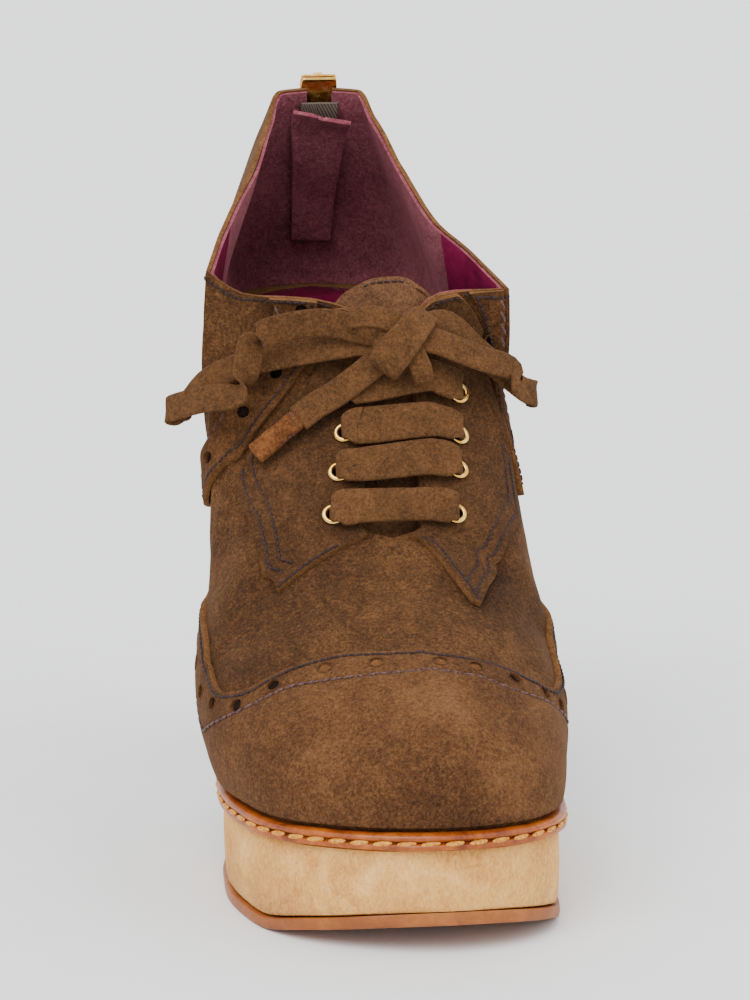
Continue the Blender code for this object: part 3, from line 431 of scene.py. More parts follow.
# Soft troughs and ridges of the worn upper: side, run of foot and share, depth, reach
CREASES = [
    (-1, [(0.722, 0.42), (0.748, 0.60), (0.757, 0.80), (0.762, 1.0)], 0.00055, 0.0042),
    (1, [(0.722, 0.45), (0.752, 0.62), (0.760, 0.80), (0.762, 1.0)], 0.00050, 0.0040),
    (-1, [(0.762, 0.46), (0.792, 0.70), (0.806, 0.86), (0.812, 1.0)], -0.00045, 0.0045),
    (1, [(0.775, 0.46), (0.803, 0.66), (0.812, 0.84), (0.812, 1.0)], -0.00050, 0.0048),
    (1, [(0.700, 0.42), (0.735, 0.52), (0.790, 0.55), (0.830, 0.60)], 0.00055, 0.0036),
    (-1, [(0.680, 0.42), (0.716, 0.50), (0.770, 0.56)], 0.00045, 0.0036),
    (-1, [(0.480, 0.20), (0.440, 0.34), (0.415, 0.52), (0.400, 0.72)], 0.00085, 0.0060),
    (1, [(0.480, 0.20), (0.440, 0.34), (0.420, 0.52), (0.405, 0.72)], 0.00085, 0.0060),
    (-1, [(0.300, 0.16), (0.290, 0.34), (0.270, 0.58)], -0.00060, 0.0075),
    (1, [(0.300, 0.16), (0.290, 0.34), (0.270, 0.58)], -0.00060, 0.0075),
    (-1, [(0.360, 0.90), (0.330, 0.74), (0.290, 0.64)], 0.00060, 0.0055),
    (1, [(0.360, 0.90), (0.330, 0.74), (0.290, 0.64)], 0.00060, 0.0055),
    (1, [(0.900, 0.30), (0.925, 0.52), (0.930, 0.76)], 0.00040, 0.0050),
    (-1, [(0.850, 0.22), (0.895, 0.38), (0.925, 0.62)], 0.00035, 0.0050),
]


def pace(rows, column):
    xs = [row[0] for row in rows]
    ys = [row[column] for row in rows]
    count = len(xs)
    steps = [xs[i + 1] - xs[i] for i in range(count - 1)]
    rates = [(ys[i + 1] - ys[i]) / steps[i] for i in range(count - 1)]
    slopes = [rates[0]] + [0.0] * (count - 2) + [rates[-1]]
    for i in range(1, count - 1):
        if rates[i - 1] * rates[i] > 0:
            near = 2 * steps[i] + steps[i - 1]
            far = steps[i] + 2 * steps[i - 1]
            slopes[i] = (near + far) / (near / rates[i - 1] + far / rates[i])
    return xs, ys, slopes


def smooth(rows, column, x):
    """Value of one column at x, by a monotone cubic through the rows."""
    xs, ys, slopes = pace(rows, column)
    i = 0
    while i < len(xs) - 2 and x > xs[i + 1]:
        i += 1
    step = xs[i + 1] - xs[i]
    t = min(max((x - xs[i]) / step, 0.0), 1.0)
    a = (2 * t**3 - 3 * t * t + 1) * ys[i]
    b = (t**3 - 2 * t * t + t) * step * slopes[i]
    c = (3 * t * t - 2 * t**3) * ys[i + 1]
    d = (t**3 - t * t) * step * slopes[i + 1]
    return a + b + c + d


BACK = OUTLINE[0][0]
FRONT = OUTLINE[-1][0]


def turn_at(along):
    share = min(max((along - BACK) / (FRONT - BACK), 0.0), 1.0)
    return math.acos(1 - 2 * share) / math.pi


def along_at(turn):
    return BACK + (FRONT - BACK) * (1 - math.cos(math.pi * turn)) / 2


TURNS = [(turn_at(row[0]), row[1], row[2]) for row in OUTLINE]


def sole_z(along):
    """Underside of the welt."""
    rise = smooth(SOLE_LINE, 1, along)
    return PLATFORM_HEIGHT + (HEEL_HEIGHT - PLATFORM_HEIGHT) * rise


def tread_z(along):
    """Underside of the outsole."""
    if along <= TREAD_LINE[0][0]:
        return sole_z(along) - OUTSOLE_THICKNESS * 1.3 - GAP
    rise = smooth(TREAD_LINE, 1, along)
    spring = smooth(TREAD_LINE, 2, along)
    top = sole_z(along) - OUTSOLE_THICKNESS * 1.3 - GAP
    return rise * top + spring * TOE_SPRING


def outsole_top(along):
    ahead = tread_z(min(along + 0.004, 1.0))
    behind = tread_z(along - 0.004)
    if along <= TREAD_LINE[0][0]:
        return sole_z(along) - GAP
    slope = (ahead - behind) / (0.008 * LENGTH)
    thick = OUTSOLE_THICKNESS * min(math.sqrt(1 + slope * slope), 2.6)
    return min(tread_z(along) + thick, sole_z(along) - GAP)


def edge(side, turn, grow=0.0):
    """Plan position on the feather edge, moved outward by grow."""
    half = smooth(TURNS, 2, turn) * BALL_WIDTH
    centre = smooth(TURNS, 1, turn) * BALL_WIDTH
    point = Vector((centre + side * half, along_at(turn) * LENGTH))
    if grow:
        point += heading(side, turn) * grow
    return point


def heading(side, turn):
    """Outward plan direction at the feather edge."""
    if turn < 0.002:
        return Vector((0, -1))
    if turn > 0.998:
        return Vector((0, 1))
    change = edge(side, turn + 0.002) - edge(side, turn - 0.002)
    return Vector((change.y, -change.x)).normalized() * side


def place(x, along, z):
    return Vector((x, HEEL_CENTRE - along, z))


def span_of(side, along):
    for rows in (COLLAR[side], FACING_TOP[side], THROAT[side]):
        if along <= rows[-1][0] + 1e-9:
            return rows
    return RIDGE


def top_point(side, along, rows=None):
    rows = rows or span_of(side, along)
    up = smooth(rows, 1, along)
    x = smooth(rows, 2, along) * BALL_WIDTH
    z = sole_z(up) + WELT_THICKNESS + smooth(rows, 3, along) * INSTEP_HEIGHT
    return Vector((x, up * LENGTH, z)), up


def rib(side, along, rows=None):
    """Four control points of the rib that leaves the feather edge at along."""
    turn = turn_at(along)
    foot = edge(side, turn)
    out = heading(side, turn)
    seat = sole_z(along) + WELT_THICKNESS + GAP * 1.6
    start = Vector((foot.x, foot.y, seat))
    end, _ = top_point(side, along, rows)
    push, over, rise, drop = [smooth(FULLNESS[side], i, along) for i in (1, 2, 3, 4)]
    first = start + Vector((out.x, out.y, 0)) * push * BALL_WIDTH
    first.z += rise * INSTEP_HEIGHT
    lean = 0.0
    if span_of(side, along) is RIDGE:
        near, _ = top_point(side, max(along - 0.01, RIDGE[0][0]), RIDGE)
        far, _ = top_point(side, min(along + 0.01, FRONT), RIDGE)
        lean = (far.z - near.z) / (far.y - near.y) * out.y
    last = end + Vector((out.x, out.y, lean)) * over * BALL_WIDTH
    last.z -= drop * INSTEP_HEIGHT
    return start, first, last, end


# The last's surface, with the seat between tongue and toe joined as one strip
THROAT_END = THROAT[1][-1][0]
RIDGE_START = RIDGE[0][0]
INSIDE = place(0, 0.15, 0.055)
_ribs = {}


def rib_at(side, along):
    key = (side, round(along, 6))
    if key not in _ribs:
        _ribs[key] = rib(side, along)
    return _ribs[key]


def curve_at(controls, share):
    p, q, r, s = controls
    t, k = share, 1 - share
    point = p * k**3 + q * (3 * k * k * t) + r * (3 * k * t * t) + s * t**3
    return Vector((point.x, HEEL_CENTRE - point.y, point.z))


def skin(side, along, share):
    """Outer surface of the upper: share 0 at the feather edge, 1 at the top of the rib."""
    if THROAT_END < along < RIDGE_START:
        mix = (along - THROAT_END) / (RIDGE_START - THROAT_END)
        low = curve_at(rib_at(side, THROAT_END), share)
        return low.lerp(curve_at(rib_at(side, RIDGE_START), share), mix)
    return curve_at(rib_at(side, along), share)


def skin_normal(side, along, share):
    a0, a1 = max(along - 0.004, BACK), min(along + 0.004, FRONT)
    s0, s1 = max(share - 0.02, 0), min(share + 0.02, 1)
    length = skin(side, a1, share) - skin(side, a0, share)
    rising = skin(side, along, s1) - skin(side, along, s0)
    return rising.cross(length).normalized() * side


def off_skin(side, along, share, distance):
    return skin(side, along, share) + skin_normal(side, along, share) * distance


def rounded(points, steps):
    """A smooth line through the points."""
    line = []
    last = len(points) - 1
    for i in range(last):
        a, b = points[max(i - 1, 0)], points[i]
        c, d = points[i + 1], points[min(i + 2, last)]
        for j in range(steps):
            t = j / steps
            line.append(0.5 * ((2 * b) + (c - a) * t + (2 * a - 5 * b + 4 * c - d) * t * t
                               + (3 * b - a - 3 * c + d) * t**3))
    return line + [points[-1]]


def stations(low, high, count, fixed=()):
    """Foot positions from heel to toe, closer near the ends of the last."""
    start, end = turn_at(low), turn_at(high)
    picks = [low, high] + [f for f in fixed if low < f < high]
    for edge_of_strip in (THROAT_END, RIDGE_START):
        if low < edge_of_strip < high:
            picks.append(edge_of_strip)
    for i in range(1, count):
        along = along_at(start + (end - start) * i / count)
        near = 0.4 * (end - start) / count
        if all(abs(turn_at(along) - turn_at(f)) > near for f in picks[:len(fixed) + 4]):
            picks.append(along)
    return sorted(set(picks))


def between(values, share):
    """Value of a list at a share of its length."""
    x = share * (len(values) - 1)
    i = min(int(x), len(values) - 2)
    if isinstance(values[i], Vector):
        return values[i].lerp(values[i + 1], x - i)
    return values[i] + (values[i + 1] - values[i]) * (x - i)


# Making pieces
def woven_grid(across, along, place_of):
    """A grid of faces whose points are set by place_of(u, v), u and v from 0 to 1."""
    bm = new_bm()
    bmesh.ops.create_grid(bm, x_segments=across, y_segments=along, size=0.5, calc_uvs=True)
    for vert in bm.verts:
        vert.co = place_of(vert.co.x + 0.5, vert.co.y + 0.5)
    return bm


def tidy_bm(bm):
    """Join doubled points, drop faces without area and turn the rest one way."""
    bmesh.ops.remove_doubles(bm, verts=bm.verts, dist=WELD)
    bmesh.ops.dissolve_degenerate(bm, edges=bm.edges, dist=WELD / 2)
    bmesh.ops.recalc_face_normals(bm, faces=bm.faces)


def join_bm(target, source):
    mesh = bpy.data.meshes.new("part")
    source.to_mesh(mesh)
    source.free()
    target.from_mesh(mesh)
    bpy.data.meshes.remove(mesh)


def woven_shape(across, along, place_of):
    bm = woven_grid(across, along, place_of)
    tidy_bm(bm)
    return bm


def new_bm():
    bm = bmesh.new()
    bm.loops.layers.uv.new("UVMap")
    return bm


def shade(mesh, angle):
    mesh.shade_smooth()
    mesh.set_sharp_from_angle(angle=math.radians(angle))


def new_piece(name, bm, finishes, nodes=(), body="shoe", smooth=40):
    """A finished piece: its mesh, its materials, the body it rides on and the nodes it replaces."""
    mesh = bpy.data.meshes.new(name)
    bm.to_mesh(mesh)
    bm.free()
    piece = bpy.data.objects.new(name, mesh)
    bpy.context.scene.collection.objects.link(piece)
    for finish in finishes:
        mesh.materials.append(finish_of(finish))
    if smooth:
        shade(mesh, smooth)
    if body:
        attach(piece, body)
    if nodes:
        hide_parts(*nodes)
    return piece


def settle(piece):
    """Make the modifiers part of the mesh."""
    graph = bpy.context.evaluated_depsgraph_get()
    mesh = bpy.data.meshes.new_from_object(piece.evaluated_get(graph))
    old = piece.data
    piece.modifiers.clear()
    piece.data = mesh
    bpy.data.meshes.remove(old)
    shade(mesh, 40)
    return piece


def wall(piece, thickness, offset, rim_slot=0):
    """Give an open surface its thickness; offset 1 is outward, -1 inward."""
    step = piece.modifiers.new("Wall", "SOLIDIFY")
    step.thickness = thickness
    step.offset = offset
    step.use_even_offset = False
    step.use_quality_normals = True
    step.material_offset_rim = rim_slot
    return settle(piece)


def soften(piece, width):
    """Round the edges of a panel, as a knife and wear leave them."""
    step = piece.modifiers.new("Soft edge", "BEVEL")
    step.width = width
    step.segments = 2
    step.limit_method = "ANGLE"
    step.angle_limit = math.radians(60)
    return settle(piece)


def cut(piece, cutter_bm):
    """Take the shapes in cutter_bm out of a piece."""
    mesh = bpy.data.meshes.new("cutter")
    cutter_bm.to_mesh(mesh)
    cutter_bm.free()
    cutter = bpy.data.objects.new("cutter", mesh)
    bpy.context.scene.collection.objects.link(cutter)
    step = piece.modifiers.new("Cut", "BOOLEAN")
    step.operation = "DIFFERENCE"
    step.solver = "EXACT"
    step.object = cutter
    settle(piece)
    bpy.data.objects.remove(cutter, do_unlink=True)
    bpy.data.meshes.remove(mesh)
    return piece


def standing(up, centre):
    """A frame at centre with its Z axis along up."""
    turn = up.to_track_quat("Z", "X").to_matrix().to_4x4()
    turn.translation = centre
    return turn


def framed(x, y, z, centre):
    """A frame at centre with the three axes given."""
    turn = Matrix((x, y, z)).transposed().to_4x4()
    turn.translation = centre
    return turn


def peg(bm, turn, radius, depth, segments):
    bmesh.ops.create_cone(bm, cap_ends=True, segments=segments, radius1=radius, radius2=radius,
                          depth=depth, matrix=turn)


def thicken(bm, way):
    """Draw flat faces out into a solid."""
    moved = bmesh.ops.extrude_face_region(bm, geom=bm.faces[:])["geom"]
    bmesh.ops.translate(bm, vec=way, verts=[g for g in moved if isinstance(g, bmesh.types.BMVert)])
    tidy_bm(bm)


def roughen(bm, scale, depth):
    for vert in bm.verts:
        vert.co += vert.normal * noise.noise(vert.co * scale) * depth


def punches(holes):
    """Round cutters standing on the surface of the last."""
    bm = bmesh.new()
    for side, foot, share in holes:
        turn = standing(skin_normal(side, foot, share), skin(side, foot, share))
        peg(bm, turn, HOLE_RADIUS, PUNCH_DEPTH, 14)
    return bm


def turned_ring(bm_target, profile_radius, profile_height, ring_radius, steps, matrix):
    """A ring of oval section, spun round the Z axis of matrix."""
    bm = bmesh.new()
    bmesh.ops.create_circle(bm, segments=10, radius=1.0)
    for vert in bm.verts:
        vert.co = Vector((ring_radius + vert.co.x * profile_radius, 0, vert.co.y * profile_height))
    bmesh.ops.spin(bm, geom=bm.verts[:] + bm.edges[:], cent=(0, 0, 0), axis=(0, 0, 1),
                   angle=2 * math.pi, steps=steps, use_merge=True)
    bmesh.ops.transform(bm, matrix=matrix, verts=bm.verts)
    tidy_bm(bm)
    join_bm(bm_target, bm)


def seam_line(side, rows, lift):
    """Points and normals at even distances along a run of foot and share on the upper."""
    marks = [Vector((foot, share, 0)) for foot, share in rows]
    fine = rounded(marks, 10)
    points = [off_skin(side, min(m.x, FRONT), min(max(m.y, 0), 1), lift) for m in fine]
    ups = [skin_normal(side, min(m.x, FRONT - 0.002), min(max(m.y, 0), 1)) for m in fine]
    return even(points, ups, SEAM_STEP)


def run_of(points):
    """Distance along a line at each of its points."""
    runs = [0.0]
    for a, b in zip(points, points[1:]):
        runs.append(runs[-1] + (b - a).length)
    return runs


def spot_on(runs, goal, i=0):
    """The step of a line that holds a distance, and the share of that step."""
    while i < len(runs) - 2 and goal > runs[i + 1]:
        i += 1
    return i, (goal - runs[i]) / max(runs[i + 1] - runs[i], 1e-9)


def even(points, ups, spacing):
    """The same line with its points at even distances."""
    runs = run_of(points)
    count = max(int(round(runs[-1] / spacing)), 1)
    out_points, out_ups = [], []
    i = 0
    for k in range(count + 1):
        i, share = spot_on(runs, runs[-1] * k / count, i)
        out_points.append(points[i].lerp(points[i + 1], share))
        out_ups.append(ups[i].lerp(ups[i + 1], share).normalized())
    return out_points, out_ups


def stitch_row(target, line, pitch, length, radius, slant=0.0, sink=0.0):
    """Thread dashes laid along a line; slant turns each one across the seam."""
    points, ups = even(line[0], line[1], pitch / 2)
    bm = bmesh.new()
    for k in range(1, len(points) - 1, 2):
        ahead = (points[k + 1] - points[k - 1]).normalized()
        up = ups[k]
        side = up.cross(ahead).normalized()
        ahead = (ahead + side * slant).normalized()
        side = up.cross(ahead).normalized()
        turn = framed(ahead * length / 2, side * radius, up * radius * 0.85, points[k] - up * sink)
        bmesh.ops.create_uvsphere(bm, u_segments=6, v_segments=5, radius=1.0,
                                  matrix=turn @ Matrix.Rotation(math.pi / 2, 4, "Y"))
    join_bm(target, bm)


def near_tree(lines):
    points = [p for line in lines for p in line]
    tree = kdtree.KDTree(len(points))
    for i, point in enumerate(points):
        tree.insert(point, i)
    tree.balance()
    return tree


def press(bm, tree, depth, reach):
    """Sink a soft trough along the points of a tree, or raise a ridge with a depth below 0."""
    for vert in bm.verts:
        distance = tree.find(vert.co)[2]
        if distance < reach * 2.5:
            vert.co -= vert.normal * depth * math.exp(-((distance / reach) ** 2))


def lift_bm(bm, distance):
    bm.normal_update()
    moves = [(vert, vert.normal.copy()) for vert in bm.verts]
    for vert, normal in moves:
        vert.co += normal * distance


def face_out(bm, centre=INSIDE):
    """Turn the faces of an open surface away from a point inside."""
    bmesh.ops.recalc_face_normals(bm, faces=bm.faces)
    bm.normal_update()
    total = sum((face.calc_center_median() - centre).dot(face.normal) for face in bm.faces)
    if total < 0:
        bmesh.ops.reverse_faces(bm, faces=bm.faces)
    bm.normal_update()


def crease_trees():
    trees = []
    for side, rows, depth, reach in CREASES:
        trees.append((near_tree([seam_line(side, rows, 0.0)[0]]), depth, reach))
    return trees


def wear(bm, trees, share=1.0):
    """Creases and the small unevenness of worn suede."""
    for tree, depth, reach in trees:
        press(bm, tree, depth * share, reach)
    for vert in bm.verts:
        swell = noise.noise(vert.co * 60) * 0.00035 + noise.noise(vert.co * 170) * 0.00012
        vert.co += vert.normal * swell * share


def surface_patch(sides, low, high, feet, rows):
    """Part of the upper's surface: feet along the last, rows between two shares of each rib."""
    bm = new_bm()
    for side in sides:
        def place_of(u, v, side=side):
            along = feet[int(round(u * (len(feet) - 1)))]
            a, b = low(side, along), high(side, along)
            return skin(side, along, a + (b - a) * v)
        join_bm(bm, woven_grid(len(feet) - 1, rows, place_of))
    tidy_bm(bm)
    return bm


def each(value, count):
    """A list as it is, or one value for every point."""
    return value if isinstance(value, list) else [value] * count


def strap(points, wides, widths, thicks, flat=0.34):
    """A soft flat strap: its middle line, the direction of its width, and its sizes along it."""
    count = len(points)
    wides, widths, thicks = each(wides, count), each(widths, count), each(thicks, count)
    shares = [0.0, 0.35, 0.75, 1.0] + [1.0] * (count - 2) + [1.0, 0.75, 0.35, 0.0]
    runs = [0, 0, 0, 0] + list(range(1, count - 1)) + [count - 1] * 4
    ends = [-0.0005, -0.0004, -0.0002, 0.0] + [0.0] * (count - 2) + [0.0, 0.0002, 0.0004, 0.0005]

    def place_of(u, v):
        k = int(round(v * (len(runs) - 1)))
        i = runs[k]
        ahead = (points[min(i + 1, count - 1)] - points[max(i - 1, 0)]).normalized()
        across = (wides[i] - ahead * wides[i].dot(ahead)).normalized()
        up = across.cross(ahead).normalized()
        angle = 2 * math.pi * u
        c, s = math.cos(angle), math.sin(angle)
        x = math.copysign(abs(c) ** flat, c) * widths[i] / 2 * (0.6 + 0.4 * shares[k] if shares[k] else 0)
        z = math.copysign(abs(s) ** 0.7, s) * thicks[i] / 2 * shares[k]
        return points[i] + across * x + up * z + ahead * ends[k]

    return woven_shape(20, len(runs) - 1, place_of)


# Materials
def linear(colour):
    """An sRGB hex colour as linear red, green and blue."""
    values = []
    for i in (0, 2, 4):
        c = int(colour[i:i + 2], 16) / 255
        values.append(c / 12.92 if c <= 0.04045 else ((c + 0.055) / 1.055) ** 2.4)
    return (*values, 1.0)


def node(tree, kind, settings=None, **links):
    """Add a node; settings are its properties, links its sockets: a value or another's output."""
    new = tree.nodes.new("ShaderNode" + kind)
    for key, value in (settings or {}).items():
        setattr(new, key, value)
    for key, value in links.items():
        socket = new.inputs[int(key[1:])] if key[1:].isdigit() else new.inputs[key.replace("_", " ")]
        if isinstance(value, bpy.types.NodeSocket):
            tree.links.new(value, socket)
        else:
            socket.default_value = value
    return new


def ramp(tree, factor, stops):
    new = node(tree, "ValToRGB", Fac=factor)
    points = new.color_ramp.elements
    while len(points) < len(stops):
        points.new(0.5)
    for point, (at, colour) in zip(points, stops):
        point.position = at
        point.color = linear(colour) if isinstance(colour, str) else (colour, colour, colour, 1)
    return new.outputs["Color"]


def fresh(name, roughness, metallic=0.0, **sockets):
    material = bpy.data.materials.new(name)
    material.use_nodes = True
    tree = material.node_tree
    shader = tree.nodes["Principled BSDF"]
    shader.inputs["Roughness"].default_value = roughness
    shader.inputs["Metallic"].default_value = metallic
    for key, value in sockets.items():
        shader.inputs[key.replace("_", " ")].default_value = value
    where = node(tree, "TexCoord").outputs["Object"]
    return material, tree, shader, where


def patterned(tree, where, scale, detail=3.0, distortion=0.0, rough=0.55, stretch=None):
    if stretch:
        where = node(tree, "Mapping", Vector=where, Scale=stretch).outputs[0]
    return node(tree, "TexNoise", None, Vector=where, Scale=scale, Detail=detail,
                Distortion=distortion, Roughness=rough).outputs["Fac"]


def mixed(tree, kind, factor, a, b):
    new = node(tree, "Mix", {"data_type": "RGBA", "blend_type": kind})
    for index, value in ((0, factor), (6, a), (7, b)):
        if isinstance(value, bpy.types.NodeSocket):
            tree.links.new(value, new.inputs[index])
        else:
            new.inputs[index].default_value = value
    return new.outputs[2]


def math_of(tree, kind, a, b=0.0, clamp=False):
    return node(tree, "Math", {"operation": kind, "use_clamp": clamp}, _0=a, _1=b).outputs[0]


def paint(tree, shader, colour):
    tree.links.new(colour, shader.inputs["Base Color"])


def bumped(tree, shader, height, strength, distance):
    bump = node(tree, "Bump", None, Height=height, Strength=strength, Distance=distance)
    tree.links.new(bump.outputs[0], shader.inputs["Normal"])


def weighted(tree, *parts):
    """The sum of several patterns, each times its share."""
    total = None
    for pattern, share in parts:
        part = math_of(tree, "MULTIPLY", pattern, share)
        total = part if total is None else math_of(tree, "ADD", total, part)
    return total


def wear_and_painted_light_spots(tree, where, spots):
    """A soft factor round listed centres: place and reach in metres, strength."""
    total = None
    for place_of_spot, reach, strength in spots:
        gap = node(tree, "VectorMath", {"operation": "DISTANCE"}, _0=where, _1=place_of_spot)
        near = node(tree, "MapRange", {"interpolation_type": "SMOOTHSTEP"}, Value=gap.outputs["Value"],
                    _1=0.0, _2=reach, _3=strength, _4=0.0).outputs[0]
        total = near if total is None else math_of(tree, "ADD", total, near, True)
    return total


def suede(name, dark, middle, light, nap=1.0, swirl=42.0, seed=0.0, scuffs_and_painted_highlights=(), painted_shade_spots=()):
    """Napped split leather: dull, with brush marks tens of millimetres long and a fine pile
    about 0.5 mm across, drawn a little coarse so that it shows."""
    material, tree, shader, where = fresh(name, 0.96, Specular_IOR_Level=0.18, Sheen_Weight=0.28,
                                          Sheen_Roughness=0.45, Sheen_Tint=linear(light))
    moved = node(tree, "Mapping", Vector=where, Location=(seed, seed * 0.7, seed * 1.3)).outputs[0]
    brush = patterned(tree, moved, swirl, 4.0, 0.9, 0.55)
    streak = patterned(tree, moved, 150.0, 4.0, 1.6, 0.6, (1.0, 0.45, 0.8))
    mottle = patterned(tree, moved, 430.0, 3.0, 0.8, 0.65)
    pile = patterned(tree, moved, 1250.0, 2.0, 0.4, 0.75)
    fibre = patterned(tree, moved, 2600.0, 2.0, 0.0, 0.7)
    tone = weighted(tree, (brush, 0.34), (streak, 0.26), (mottle, 0.24), (pile, 0.66))
    tone = math_of(tree, "SUBTRACT", tone, 0.275, True)
    # Painted shade: darker spots where shade falls on the shoe
    if painted_shade_spots:
        tone = math_of(tree, "SUBTRACT", tone, wear_and_painted_light_spots(tree, where, painted_shade_spots), True)
    # Lighter spots: scuffs of wear, and painted highlights where light falls
    if scuffs_and_painted_highlights:
        tone = math_of(tree, "ADD", tone, wear_and_painted_light_spots(tree, where, scuffs_and_painted_highlights), True)
    base = ramp(tree, tone, [(0.24, dark), (0.46, middle), (0.74, light)])
    grain = ramp(tree, fibre, [(0.36, 0.45), (0.64, 1.0)])
    paint(tree, shader, mixed(tree, "MULTIPLY", 0.68 * nap, base, grain))
    height = weighted(tree, (pile, 0.7), (fibre, 0.45), (streak, 0.8))
    bumped(tree, shader, height, 0.55 * nap, 0.0004)
    return material


def leather(name, dark, middle, light, roughness, grain_mm=0.9, depth=0.00012, coat=0.0, swirl=60.0):
    """Finished grain leather: closed pores under a finish, with a cloudy tone."""
    material, tree, shader, where = fresh(name, roughness, Coat_Weight=coat, Coat_Roughness=0.25,
                                          Specular_IOR_Level=0.35)
    clouds = patterned(tree, where, swirl, 4.0, 0.6)
    fine = patterned(tree, where, 700.0, 3.0)
    tone = weighted(tree, (clouds, 0.7), (fine, 0.3))
    paint(tree, shader, ramp(tree, tone, [(0.34, dark), (0.5, middle), (0.68, light)]))
    cells = node(tree, "TexVoronoi", {"feature": "DISTANCE_TO_EDGE"}, Vector=where,
                 Scale=1000.0 / grain_mm).outputs["Distance"]
    pores = math_of(tree, "MINIMUM", cells, 0.25)
    bumped(tree, shader, math_of(tree, "ADD", pores, math_of(tree, "MULTIPLY", fine, 0.6)), 0.5, depth)
    return material


def thread(name, dark, light, roughness=0.62):
    """Waxed sewing thread: two plies, so its shade runs from light to dark every 0.6 mm."""
    material, tree, shader, where = fresh(name, roughness, Specular_IOR_Level=0.22)
    twist = patterned(tree, where, 1700.0, 2.0, 0.5)
    paint(tree, shader, ramp(tree, twist, [(0.36, dark), (0.64, light)]))
    bumped(tree, shader, twist, 0.8, 0.00015)
    return material


def brass(name, colour, roughness):
    """Gold-coloured plated brass, polished: bright, with faint handling marks."""
    material, tree, shader, where = fresh(name, roughness, 1.0)
    smear = patterned(tree, where, 500.0, 3.0)
    paint(tree, shader, ramp(tree, smear, [(0.3, colour), (0.75, "f3d184")]))
    gloss = node(tree, "MapRange", None, Value=smear, _1=0.3, _2=0.7, _3=roughness * 0.8, _4=roughness * 1.5)
    tree.links.new(gloss.outputs[0], shader.inputs["Roughness"])
    return material


def crepe_rubber(name):
    """Plantation crepe: pale latex pressed in sheets, with a felted grain of about 1 mm,
    yellowed in patches and grimed at the foot of the wall."""
    material, tree, shader, where = fresh(name, 0.82, Subsurface_Weight=0.06, Subsurface_Scale=0.002)
    clouds = patterned(tree, where, 55.0, 4.0, 0.8)
    felt = patterned(tree, where, 620.0, 4.0, 2.2, 0.65, (1.0, 1.0, 0.55))
    specks = patterned(tree, where, 1500.0, 2.0, 0.3)
    tone = weighted(tree, (clouds, 0.5), (felt, 0.5))
    base = ramp(tree, tone, [(0.34, "b07632"), (0.47, "d89a4c"), (0.58, "eab263"), (0.70, "f6ca84")])
    height_of = node(tree, "SeparateXYZ", None, Vector=where).outputs["Z"]
    low = node(tree, "MapRange", None, Value=height_of, _1=0.004, _2=0.0125, _3=0.75, _4=0.0).outputs[0]
    grime = math_of(tree, "MULTIPLY", low, ramp(tree, specks, [(0.40, 0.0), (0.66, 1.0)]), True)
    paint(tree, shader, mixed(tree, "MIX", grime, base, linear("96724c")))
    bumped(tree, shader, weighted(tree, (felt, 1.0), (specks, 0.4)), 0.8, 0.0005)
    return material


def woven_tape(name):
    """Polyester zip tape: a herringbone weave with a 0.8 mm rib."""
    material, tree, shader, where = fresh(name, 0.88)
    ribs = node(tree, "TexWave", {"wave_type": "BANDS", "bands_direction": "DIAGONAL"}, Vector=where,
                Scale=800.0, Distortion=0.6).outputs["Fac"]
    flecks = patterned(tree, where, 1400.0, 2.0)
    tone = weighted(tree, (ribs, 0.55), (flecks, 0.45))
    paint(tree, shader, ramp(tree, tone, [(0.3, "3c322c"), (0.7, "74665a")]))
    bumped(tree, shader, ribs, 0.7, 0.0002)
    return material


